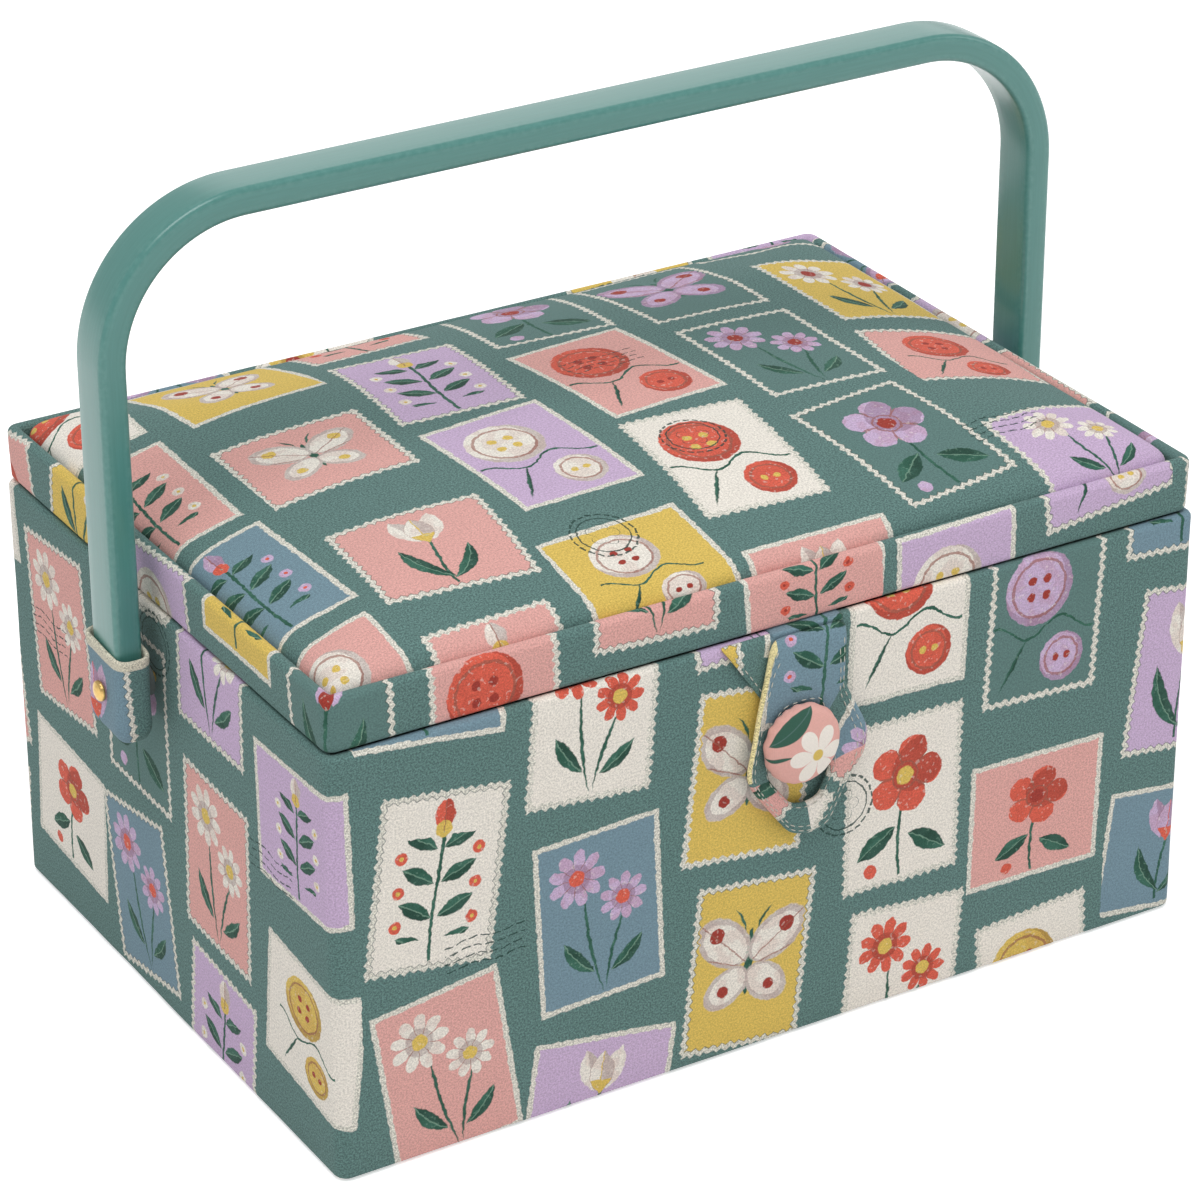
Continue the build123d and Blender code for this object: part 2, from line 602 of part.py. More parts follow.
def tray_cell(x_low, x_high, y_low, y_high, low, high):
    """The drafted hollow of one compartment."""
    cell = drafted(x_high - x_low, y_high - y_low, TRAY_INNER_CORNER, low, high)
    return Pos((x_low + x_high) / 2, (y_low + y_high) / 2, 0) * cell


def spread(low, high, count, wall):
    """Equal cells between two ends with walls between them."""
    size = (high - low - (count - 1) * wall) / count
    return [(low + i * (size + wall), low + i * (size + wall) + size) for i in range(count)]


def make_tray():
    """A drafted moulded tray with a flange on the liner, two rows of compartments and finger notches."""
    flange_width = BODY_WIDTH - 2 * (TURN_INNER + TRAY_SIDE_GAP)
    flange_depth = BODY_DEPTH - 2 * (TURN_INNER + TRAY_SIDE_GAP)
    low = LINER_TOP + TRAY_FLANGE - TRAY_DEPTH
    high = LINER_TOP + TRAY_FLANGE
    top_width = BODY_WIDTH - 2 * (LINER_INNER + TRAY_SIDE_GAP)
    top_depth = BODY_DEPTH - 2 * (LINER_INNER + TRAY_SIDE_GAP)
    flange = block(flange_width, flange_depth, TRAY_CORNER, LINER_TOP + GLUE_LINE, high)
    tray = drafted(top_width, top_depth, TRAY_CORNER, low, LINER_TOP + GLUE_LINE) + flange

    inner_x = top_width / 2 - TRAY_WALL
    inner_y = top_depth / 2 - TRAY_WALL
    split = inner_y - 2 * inner_y * BACK_ROW_SHARE
    cell_floor = low + TRAY_WALL
    cells = []
    for x_low, x_high in spread(-inner_x, inner_x, FRONT_ROW_CELLS, DIVIDER):
        cells.append((x_low, x_high, -inner_y, split - DIVIDER / 2))
    for x_low, x_high in spread(-inner_x, inner_x, BACK_ROW_CELLS, DIVIDER):
        cells.append((x_low, x_high, split + DIVIDER / 2, inner_y))
    for x_low, x_high, y_low, y_high in cells:
        tray = tray - tray_cell(x_low, x_high, y_low, y_high, cell_floor, high)
    inside = 2 * (inner_x - TRAY_INNER_CORNER)
    inside_depth = 2 * (inner_y - TRAY_INNER_CORNER)
    tray = tray - block(inside, inside_depth, TRAY_INNER_CORNER, high - DIVIDER_DROP, high)
    half_notch = FINGER_NOTCH / 2
    scoop = (half_notch ** 2 + FINGER_NOTCH_DEPTH ** 2) / (2 * FINGER_NOTCH_DEPTH)
    scoop_z = high - FINGER_NOTCH_DEPTH + scoop
    wall_inside = inner_x - 2 * TRAY_WALL
    tray = tray - along_x(2 * scoop, wall_inside, flange_width, 0, scoop_z)
    tray = tray - along_x(2 * scoop, -flange_width, -wall_inside, 0, scoop_z)
    return {"tray": tray}


def main():
    """Build every piece and write one STEP file for each."""
    os.makedirs("parts", exist_ok=True)
    pieces = {}
    for maker in (make_case, make_lid, make_hinge, make_handle, make_rivets, make_button, make_loop, make_tray):
        pieces.update(maker())
    for name, piece in pieces.items():
        export_step(piece, f"parts/{name}.step")
    print(len(pieces), "pieces written")


if __name__ == "__main__":
    main()
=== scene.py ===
import json
import math

import bmesh
import bpy
from bpy.props import FloatProperty, FloatVectorProperty, IntProperty, PointerProperty
from mathutils import Matrix, Vector, noise

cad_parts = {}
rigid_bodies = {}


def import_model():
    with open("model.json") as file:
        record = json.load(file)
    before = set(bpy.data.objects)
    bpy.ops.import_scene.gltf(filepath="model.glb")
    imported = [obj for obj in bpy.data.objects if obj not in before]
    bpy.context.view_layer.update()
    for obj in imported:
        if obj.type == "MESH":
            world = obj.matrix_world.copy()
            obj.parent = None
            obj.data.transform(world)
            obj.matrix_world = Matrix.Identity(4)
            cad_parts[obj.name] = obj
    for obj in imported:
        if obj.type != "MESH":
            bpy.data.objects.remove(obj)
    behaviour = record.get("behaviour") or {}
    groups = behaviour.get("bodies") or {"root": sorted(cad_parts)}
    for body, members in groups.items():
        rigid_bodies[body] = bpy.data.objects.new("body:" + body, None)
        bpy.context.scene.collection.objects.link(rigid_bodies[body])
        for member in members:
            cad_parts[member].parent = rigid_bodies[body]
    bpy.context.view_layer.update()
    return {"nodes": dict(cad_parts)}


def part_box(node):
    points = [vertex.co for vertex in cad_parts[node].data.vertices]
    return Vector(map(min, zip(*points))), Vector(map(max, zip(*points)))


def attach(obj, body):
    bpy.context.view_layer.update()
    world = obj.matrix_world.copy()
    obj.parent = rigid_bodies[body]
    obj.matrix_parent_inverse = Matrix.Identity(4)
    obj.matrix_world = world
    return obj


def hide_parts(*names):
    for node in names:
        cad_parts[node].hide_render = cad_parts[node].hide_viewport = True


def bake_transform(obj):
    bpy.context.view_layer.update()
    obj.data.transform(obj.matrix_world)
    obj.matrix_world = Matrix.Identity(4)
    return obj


bl_info = {
    "name": "Fabric sewing box",
    "version": (1, 0, 0),
    "blender": (4, 5, 0),
    "location": "3D View > Sidebar > Sewing Box",
    "description": "Dresses the sewing box in printed cloth, with its padded lid, handle, "
                   "loop, button and tray",
    "category": "Object",
}

# Blender's own start objects make room for the sewing box.
for start_object in list(bpy.data.objects):
    bpy.data.objects.remove(start_object)

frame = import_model()

MM = 0.001
COVER_LOW, COVER_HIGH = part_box("body_cover")
RIM_LOW, RIM_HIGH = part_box("lid_rim_cover")
TOP_LOW, TOP_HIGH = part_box("lid_top_cover")
LID_BOARD_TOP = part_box("lid_board")[1].z + 0.05 * MM
BAR_LOW, BAR_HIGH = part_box("handle_bar")
SLEEVE_LOW, SLEEVE_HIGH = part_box("strap_right")
HINGE_LOW, HINGE_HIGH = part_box("hinge_cloth")
FLOOR_LOW, FLOOR_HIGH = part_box("floor_pad")
POCKET_LOW, POCKET_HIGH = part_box("lid_pocket")
LINING_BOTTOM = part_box("lid_lining")[0].z
LOOP_LOW, LOOP_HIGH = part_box("closure_loop")
TAB_LOW, TAB_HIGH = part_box("loop_tab")
BUTTON_LOW, BUTTON_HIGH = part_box("button_cloth")

# Sizes that more than one piece uses
SEAM_Z = 121.3 * MM
ARM_THICKNESS = 7.6 * MM


def srgb(red, green, blue):
    """A colour given as 0 to 255 on screen, as Blender's linear colour."""
    linear = []
    for part in (red, green, blue):
        share = part / 255
        linear.append(share / 12.92 if share <= 0.04045 else ((share + 0.055) / 1.055) ** 2.4)
    return (*linear, 1.0)


# Signals: numbers in a shader node tree, so that a printed pattern reads as plain sums.


class Signal:
    """One number of a shader node tree."""

    def __init__(self, tree, source):
        self.tree = tree
        self.source = source

    def math(self, operation, *others):
        made = add_node(self.tree, "ShaderNodeMath", *enumerate((self, *others)), operation=operation)
        return Signal(self.tree, made[0])

    def __add__(self, other):
        return self.math("ADD", other)

    def __sub__(self, other):
        return self.math("SUBTRACT", other)

    def __rsub__(self, other):
        return (self * -1.0) + other

    def __mul__(self, other):
        return self.math("MULTIPLY", other)

    def __truediv__(self, other):
        return self.math("DIVIDE", other)

    __radd__ = __add__
    __rmul__ = __mul__

    def floor(self):
        return self.math("FLOOR")

    def size(self):
        return self.math("ABSOLUTE")

    def sin(self):
        return self.math("SINE")

    def cos(self):
        return self.math("COSINE")

    def power(self, other):
        return self.math("POWER", other)

    def least(self, other):
        return self.math("MINIMUM", other)

    def most(self, other):
        return self.math("MAXIMUM", other)

    def wrapped(self, length):
        return self.math("FLOORED_MODULO", length)

    def below(self, other):
        return self.math("LESS_THAN", other)

    def above(self, other):
        return self.math("GREATER_THAN", other)

    def ramp(self, low, high):
        """0 below low and 1 above high, with a soft step between."""
        made = add_node(self.tree, "ShaderNodeMapRange", ("Value", self), ("From Min", low),
                        ("From Max", high), interpolation_type="SMOOTHSTEP")
        return Signal(self.tree, made["Result"])


def feed(tree, socket, value):
    """Give a socket a signal, another node's output or a plain value."""
    if isinstance(value, Signal):
        tree.links.new(value.source, socket)
    elif isinstance(value, bpy.types.NodeSocket):
        tree.links.new(value, socket)
    else:
        socket.default_value = value


def add_node(tree, kind, *fed, **set_up):
    """A new node's outputs; set_up holds the node's own settings, and fed its (input, value) pairs."""
    node = tree.nodes.new(kind)
    for name, value in set_up.items():
        setattr(node, name, value)
    for socket, value in fed:
        feed(tree, node.inputs[socket], value)
    return node.outputs


def group_tree(name, inputs, outputs):
    """A new shader node group; its inputs and outputs are (name, kind, default) rows."""
    tree = bpy.data.node_groups.new(name, "ShaderNodeTree")
    for label, kind, default in inputs:
        socket = tree.interface.new_socket(label, in_out="INPUT", socket_type=f"NodeSocket{kind}")
        if default is not None:
            socket.default_value = default
    for label, kind in outputs:
        tree.interface.new_socket(label, in_out="OUTPUT", socket_type=f"NodeSocket{kind}")
    entry = tree.nodes.new("NodeGroupInput")
    leave = tree.nodes.new("NodeGroupOutput")
    return tree, entry, leave


def inputs_of(tree, entry, *names):
    """Signals of a group's number inputs."""
    return [Signal(tree, entry.outputs[name]) for name in names]


def set_inputs(tree, node, **values):
    """Feed a node's inputs by name; underscores in the names stand for spaces."""
    for name, value in values.items():
        feed(tree, node.inputs[name.replace("_", " ")], value)


def place_group(tree, group, **values):
    """Put a group into a tree and feed its inputs."""
    node = tree.nodes.new("ShaderNodeGroup")
    node.node_tree = group
    set_inputs(tree, node, **values)
    return node


def tinted(tree, factor, below, above):
    """The colour above laid over the colour below, as much as factor says."""
    # Counted from 0, inputs 6 and 7 and output 2 are the ones for colours.
    return add_node(tree, "ShaderNodeMix", ("Factor", factor), (6, below), (7, above), data_type="RGBA")[2]


def palette(tree, chosen, rows):
    """One colour of several, by the place of a random number; rows are (start, colour)."""
    node = tree.nodes.new("ShaderNodeValToRGB")
    node.color_ramp.interpolation = "CONSTANT"
    tree.links.new(chosen.source, node.inputs["Fac"])
    stops = node.color_ramp.elements
    while len(stops) < len(rows):
        stops.new(1.0)
    for stop, (start, colour) in zip(stops, rows):
        stop.position = start
        stop.color = colour
    return node.outputs["Color"]


def speckle(tree, vector, scale, detail=2.0, rough=0.5):
    """Plain noise from 0 to 1 on a vector."""
    made = add_node(tree, "ShaderNodeTexNoise", ("Vector", vector), ("Scale", scale),
                    ("Detail", detail), ("Roughness", rough))
    return Signal(tree, made["Fac"])


def random_three(tree, *numbers):
    """Three random numbers that belong to up to three numbers."""
    join = add_node(tree, "ShaderNodeCombineXYZ", *enumerate(numbers))
    white = add_node(tree, "ShaderNodeTexWhiteNoise", ("Vector", join[0]), noise_dimensions="3D")
    split = add_node(tree, "ShaderNodeSeparateColor", (0, white["Color"]))
    return [Signal(tree, output) for output in split]


def parts_of(tree, vector):
    """A vector's first two parts, as numbers."""
    made = add_node(tree, "ShaderNodeSeparateXYZ", (0, vector))
    return Signal(tree, made["X"]), Signal(tree, made["Y"])


def scaled(tree, colour, level):
    """A colour made brighter or darker by a level."""
    return add_node(tree, "ShaderNodeVectorMath", (0, colour), ("Scale", level), operation="SCALE")[0]


def darkened(colour, share):
    """A plain colour with only a share of its light."""
    return tuple(part * share for part in colour[:3]) + (1.0,)


# Motifs of the print. Each is drawn in millimetres about the middle of its patch, with up pointing to +Y.


def turned_to(x, y, centre_x, centre_y, degrees):
    """Coordinates along and across a shape that lies at a place and angle."""
    turn = math.radians(degrees)
    from_x = x - centre_x
    from_y = y - centre_y
    along = from_x * math.cos(turn) + from_y * math.sin(turn)
    across = from_y * math.cos(turn) - from_x * math.sin(turn)
    return along, across


def leaf(x, y, centre_x, centre_y, degrees, length, width, bend=0.0):
    """A pointed leaf with a soft edge, and its midrib."""
    along, across = turned_to(x, y, centre_x, centre_y, degrees)
    reach = along / (length / 2)
    square = reach * reach
    if bend:
        across = across + square * bend
    edge = (1.0 - square) * (width / 2)
    inside = (edge - across.size()).ramp(-0.12, 0.22)
    rib = across.size().below(0.16) * inside
    return inside, rib, inside * across.below(0.0)


def spot(x, y, centre_x, centre_y, radius, soft=0.3):
    """A round spot."""
    from_x = x - centre_x
    from_y = y - centre_y
    distance = (from_x * from_x + from_y * from_y).power(0.5)
    return (radius - distance).ramp(-soft / 2, soft / 2), distance


def oval(x, y, centre_x, centre_y, degrees, half_long, half_wide):
    """A filled oval."""
    along, across = turned_to(x, y, centre_x, centre_y, degrees)
    long_share = along / half_long
    wide_share = across / half_wide
    reach = (long_share * long_share + wide_share * wide_share).power(0.5)
    return (1.0 - reach).ramp(-0.03, 0.05)


def stem(x, y, low, high, sway, thickness=0.45):
    """An upright stem that sways a little."""
    middle = (y / 7.0).sin() * sway
    line = (thickness - (x - middle).size()).ramp(-0.1, 0.15)
    return line * y.above(low) * y.below(high)


def petals(x, y, centre_x, centre_y, radius, count, depth=0.45, soft=0.3):
    """A flower of rounded petals, with the lines between them."""
    from_x = x - centre_x
    from_y = y - centre_y
    distance = (from_x * from_x + from_y * from_y).power(0.5)
    angle = from_y.math("ARCTAN2", from_x)
    lobe = (angle * (count / 2)).cos().size()
    edge = (lobe.power(0.55) * depth + (1.0 - depth)) * radius
    inside = (edge - distance).ramp(-soft / 2, soft / 2)
    between = lobe.below(0.16) * distance.above(radius * 0.28) * inside
    return inside, between, distance


MOTIF_LAYERS = ("Leaves", "Petals", "Hearts", "Lines", "Tones")
MOTIF_OUTPUTS = [(label, "Float") for label in MOTIF_LAYERS]
MOTIF_INPUTS = [("X", "Float", 0.0), ("Y", "Float", 0.0)]


def motif_group(name, draw):
    """A node group of one motif; draw gives its leaves, petals, hearts, fine lines and darker sides."""
    tree, entry, leave = group_tree(name, MOTIF_INPUTS, MOTIF_OUTPUTS)
    x, y = inputs_of(tree, entry, "X", "Y")
    for label, mask in zip(MOTIF_LAYERS, draw(x, y)):
        tree.links.new(mask.source, leave.inputs[label])
    return tree


def draw_tulips(x, y):
    left_leaf, left_rib, left_side = leaf(x, y, -6.2, -8.5, 118, 20, 4.6, 2.4)
    right_leaf, right_rib, right_side = leaf(x, y, 6.0, -10.5, 58, 17, 4.2, -2.0)
    leaves = left_leaf.most(right_leaf).most(stem(x, y, -19.0, 6.0, 0.9))
    side_petal, _, side_tone = leaf(x, y, -3.5, 10.2, 104, 15, 6.4)
    other_petal, _, _ = leaf(x, y, 3.7, 10.0, 76, 15, 6.4)
    front_petal, front_rib, front_tone = leaf(x, y, 0.1, 9.0, 90, 14.5, 7.4)
    flower = side_petal.most(other_petal).most(front_petal)
    heart = (front_petal * y.below(6.5)).most(front_rib)
    edges = front_petal.above(0.15) * front_petal.below(0.6)
    tones = left_side.most(right_side).most(side_tone * front_petal.below(0.5)).most(front_tone)
    return leaves, flower, heart, left_rib.most(right_rib).most(edges), tones


def draw_sprig(x, y):
    mirrored = x.size()
    height = (y + 20.0).wrapped(8.4)
    pair, rib, side = leaf(mirrored, height, 5.0, 5.0, 28, 9.6, 3.9)
    within = y.above(-14.0) * y.below(11.0)
    leaves = (pair * within).most(stem(x, y, -20.0, 14.0, 0.5))
    berry, reach = spot(mirrored, height, 9.6, 1.6, 1.5)
    bud, bud_rib, bud_side = leaf(x, y, 0.3, 16.0, 90, 8.5, 5.2)
    lower_bud, _ = spot(x, y, 0.3, 12.6, 2.0)
    hearts = (reach.below(0.5) * within).most(lower_bud)
    flower = (berry * within).most(bud)
    lines = (rib * within).most(bud_rib)
    return leaves, flower, hearts, lines, (side * within).most(bud_side)


def draw_blossom(x, y):
    flower, between, distance = petals(x, y, 0.4, 6.2, 10.2, 5, 0.42)
    heart = (2.3 - distance).ramp(-0.2, 0.2)
    ring = distance.above(3.2) * distance.below(3.7)
    left_leaf, left_rib, left_side = leaf(x, y, -7.0, -10.0, 32, 12.5, 5.4)
    right_leaf, right_rib, right_side = leaf(x, y, 7.2, -12.5, 148, 12.5, 5.2)
    leaves = left_leaf.most(right_leaf).most(stem(x, y, -20.0, -2.0, 1.0))
    bud, _ = spot(x, y, -8.4, -17.0, 1.8)
    lines = between.most(ring * heart.below(0.5)).most(left_rib).most(right_rib)
    folded = flower * (distance - (x - 0.4) * 0.5 - (y - 6.2) * 0.3).below(5.4)
    return leaves, flower.most(bud), heart, lines, left_side.most(right_side).most(folded)


def draw_buttons(x, y):
    large, large_reach = spot(x, y, -2.4, 7.0, 9.4)
    small, small_reach = spot(x, y, 5.6, -12.0, 6.2)
    rims = (large_reach - 7.3).size().below(0.35).most((small_reach - 4.6).size().below(0.3))
    fold_x = (x + 2.4).size()
    fold_y = (y - 7.0).size()
    holes, _ = spot(fold_x, fold_y, 2.1, 2.1, 1.15)
    small_x = (x - 5.6).size()
    small_holes, _ = spot(small_x, y, 1.6, -12.0, 0.9)
    hidden = holes.most(small_holes)
    thread = ((x * 0.35).sin() * 2.2 + 0.5 - (y + 4.0)).size().below(0.35) * x.size().below(14.5)
    needle, _, needle_side = leaf(x, y, -8.0, -11.5, 62, 15, 1.1)
    lit, _ = spot(x, y, -3.4, 8.2, 8.4)
    small_lit, _ = spot(x, y, 5.0, -11.3, 5.4)
    tones = (large * lit.below(0.5)).most(small * small_lit.below(0.5)).most(needle_side)
    return needle.most(thread), large.most(small), hidden, rims, tones


def draw_butterfly(x, y):
    mirrored = x.size()
    upper = oval(mirrored, y, 7.2, 6.4, 38, 8.6, 5.6)
    lower = oval(mirrored, y, 5.4, -5.6, -38, 6.6, 4.6)
    wing_spot, _ = spot(mirrored, y, 9.4, 8.6, 2.0)
    low_spot, _ = spot(mirrored, y, 6.2, -6.4, 1.5)
    body = oval(x, y, 0.0, 0.4, 90, 8.6, 1.15)
    feeler, _, _ = leaf(mirrored, y, 2.7, 11.6, 62, 7.6, 0.8, 0.7)
    vein = (y - mirrored * 0.85).size().below(0.25) * upper
    other_vein = (y + 1.0 - mirrored * 0.32).size().below(0.2) * upper
    hem = (upper * oval(mirrored, y, 6.8, 6.0, 38, 7.2, 4.4).below(0.5)).most(
        lower * oval(mirrored, y, 5.0, -5.2, -38, 5.4, 3.5).below(0.5))
    return body.most(feeler), upper.most(lower), wing_spot.most(low_spot), vein.most(other_vein), hem


def draw_daisies(x, y):
    first, first_lines, first_reach = petals(x, y, -5.4, 11.0, 7.4, 9, 0.55)
    second, second_lines, second_reach = petals(x, y, 6.2, 2.6, 6.2, 9, 0.55)
    hearts = (2.0 - first_reach).ramp(-0.15, 0.15).most((1.8 - second_reach).ramp(-0.15, 0.15))
    first_stem, _, _ = leaf(x, y, -2.8, -6.5, 98, 30, 1.0, 1.2)
    second_stem, _, _ = leaf(x, y, 3.2, -9.0, 72, 22, 1.0, 1.0)
    left_leaf, left_rib, left_side = leaf(x, y, -6.4, -10.0, 128, 12, 3.8, 0.8)
    right_leaf, right_rib, right_side = leaf(x, y, 7.0, -12.5, 40, 11, 3.6, -0.8)
    leaves = first_stem.most(second_stem).most(left_leaf).most(right_leaf)
    lines = first_lines.most(second_lines).most(left_rib).most(right_rib)
    near_heart = (first * first_reach.below(3.6)).most(second * second_reach.below(3.1))
    return leaves, first.most(second), hearts, lines, left_side.most(right_side).most(near_heart)


MOTIFS = (
    ("Tulips", draw_tulips),
    ("Sprig", draw_sprig),
    ("Blossom", draw_blossom),
    ("Buttons", draw_buttons),
    ("Butterfly", draw_butterfly),
    ("Daisies", draw_daisies),
)

# Colours of the print
GROUND = srgb(93, 124, 120)
BORDER = srgb(214, 211, 200)
DARK_INK = srgb(38, 66, 60)
LEAF_GREEN = srgb(43, 88, 72)
CREAM = srgb(232, 226, 216)
PINK = srgb(219, 165, 158)
LILAC = srgb(197, 173, 204)
DUSTY_BLUE = srgb(116, 143, 156)
MUSTARD = srgb(216, 186, 94)
CORAL = srgb(216, 96, 76)
DEEP_RED = srgb(158, 58, 48)

# Where each patch colour starts in the draw of lots, with its flower and heart colours
PATCH_COLOURS = (
    (0.0, PINK, CREAM, MUSTARD),
    (0.20, CREAM, CORAL, MUSTARD),
    (0.36, LILAC, CREAM, MUSTARD),
    (0.52, DUSTY_BLUE, LILAC, CORAL),
    (0.66, MUSTARD, CREAM, DEEP_RED),
    (0.78, GROUND, LILAC, DEEP_RED),
    (0.86, CREAM, MUSTARD, DEEP_RED),
    (0.94, PINK, CORAL, DEEP_RED),
)


def patch_group():
    """The print's layout: which patch a point of the cloth lies in, and where in that patch."""
    tree, entry, leave = group_tree(
        "Patch layout",
        [("Across", "Float", 0.0), ("Up", "Float", 0.0), ("Column Pitch", "Float", 45.5),
         ("Row Pitch", "Float", 57.5), ("Seed", "Float", 0.0)],
        [("X", "Float"), ("Y", "Float"), ("Edge", "Float"), ("Kind", "Float"), ("Motif", "Float"),
         ("Trim", "Float")])
    across, up, column_pitch, row_pitch, seed = inputs_of(
        tree, entry, "Across", "Up", "Column Pitch", "Row Pitch", "Seed")
    column = (across / column_pitch).floor()
    shift = random_three(tree, column, seed, 3.7)[0]
    slid = up + column * 21.0 + shift * 17.0
    row = (slid / row_pitch).floor()
    kind, motif, tilt = random_three(tree, column, row, seed)
    jitter_x, jitter_y, lying = random_three(tree, row, column, seed + 9.3)
    x = across - (column + 0.5) * column_pitch - (jitter_x - 0.5) * 4.2
    y = slid - (row + 0.5) * row_pitch - (jitter_y - 0.5) * 5.0
    turn = (tilt - 0.5) * 0.31
    cosine = turn.cos()
    sine = turn.sin()
    turned_x = x * cosine + y * sine
    turned_y = y * cosine - x * sine
    wide = lying.below(0.18)
    half_x = wide * 3.0 + 18.6
    half_y = 25.2 - wide * 6.0
    trim = (lying * 7.0).wrapped(1.0)
    zig_y = ((turned_y / 2.7).wrapped(1.0) - 0.5).size() * 2.0
    zig_x = ((turned_x / 2.7).wrapped(1.0) - 0.5).size() * 2.0
    pinked = trim.above(0.3)
    bite = pinked * 0.8 + 0.15
    edge_x = half_x - turned_x.size() - zig_y * bite
    edge_y = half_y - turned_y.size() - zig_x * bite
    set_inputs(tree, leave, X=turned_x * (wide * 0.12 + 0.88), Y=turned_y * (wide * 0.28 + 0.88),
               Edge=edge_x.least(edge_y), Kind=kind, Motif=motif, Trim=trim)
    return tree


def postmark_group():
    """Dashed rings and wavy running stitches scattered over the print."""
    tree, entry, leave = group_tree(
        "Stitched marks", [("Across", "Float", 0.0), ("Up", "Float", 0.0), ("Seed", "Float", 0.0)],
        [("Mark", "Float")])
    across, up, seed = inputs_of(tree, entry, "Across", "Up", "Seed")
    column = (across / 62.0).floor()
    slid = up + column * 33.0
    row = (slid / 71.0).floor()
    kind, jitter_x, jitter_y = random_three(tree, column, row, seed + 21.0)
    x = across - (column + 0.5) * 62.0 - (jitter_x - 0.5) * 26.0
    y = slid - (row + 0.5) * 71.0 - (jitter_y - 0.5) * 30.0
    distance = (x * x + y * y).power(0.5)
    angle = y.math("ARCTAN2", x)
    dash = ((angle * 3.5).wrapped(1.0)).below(0.72)
    ring = (distance - 8.6).size().below(0.3) * dash
    inner = (distance - 6.9).size().below(0.22)
    star, _, _ = petals(x, y, 0.0, 0.0, 4.4, 5, 0.6)
    star_line = star.above(0.05) * star.below(0.75)
    medal = ring.most(inner).most(star_line) * kind.above(0.72)
    wave = (y + (x * 0.45).sin() * 0.5).wrapped(2.4) - 1.2
    dashes = (x + (y / 2.4).floor() * 1.3).wrapped(3.4).below(2.5)
    lines = wave.size().below(0.2) * dashes * x.size().below(11.5) * y.size().below(4.8) * kind.below(0.3)
    set_inputs(tree, leave, Mark=medal.most(lines))
    return tree


def weave_group():
    """Plain weave: threads over and under each other, for a Bump, and a colour level: painted shade between
    the threads, with the slubs' own tone.
    """
    tree, entry, leave = group_tree(
        "Plain weave", [("Vector", "Vector", None), ("Thread", "Float", 0.42)],
        [("Height", "Float"), ("Shade", "Float")])
    across, up = parts_of(tree, entry.outputs["Vector"])
    thread = Signal(tree, entry.outputs["Thread"])
    x = across / thread
    y = up / thread
    warp = (x * math.pi).sin().size()
    weft = (y * math.pi).sin().size()
    over = (x.floor() + y.floor()).wrapped(2.0)
    height = warp * over + weft * (1.0 - over)
    slub = speckle(tree, entry.outputs["Vector"], 1.6, 3.0, 0.6)
    # Shade darkens the low places between threads (painted shade) and lightens the slubs (their own tone).
    set_inputs(tree, leave, Height=height * 0.7 + slub * 0.6, Shade=height * 0.10 + slub * 0.20 + 0.83)
    return tree


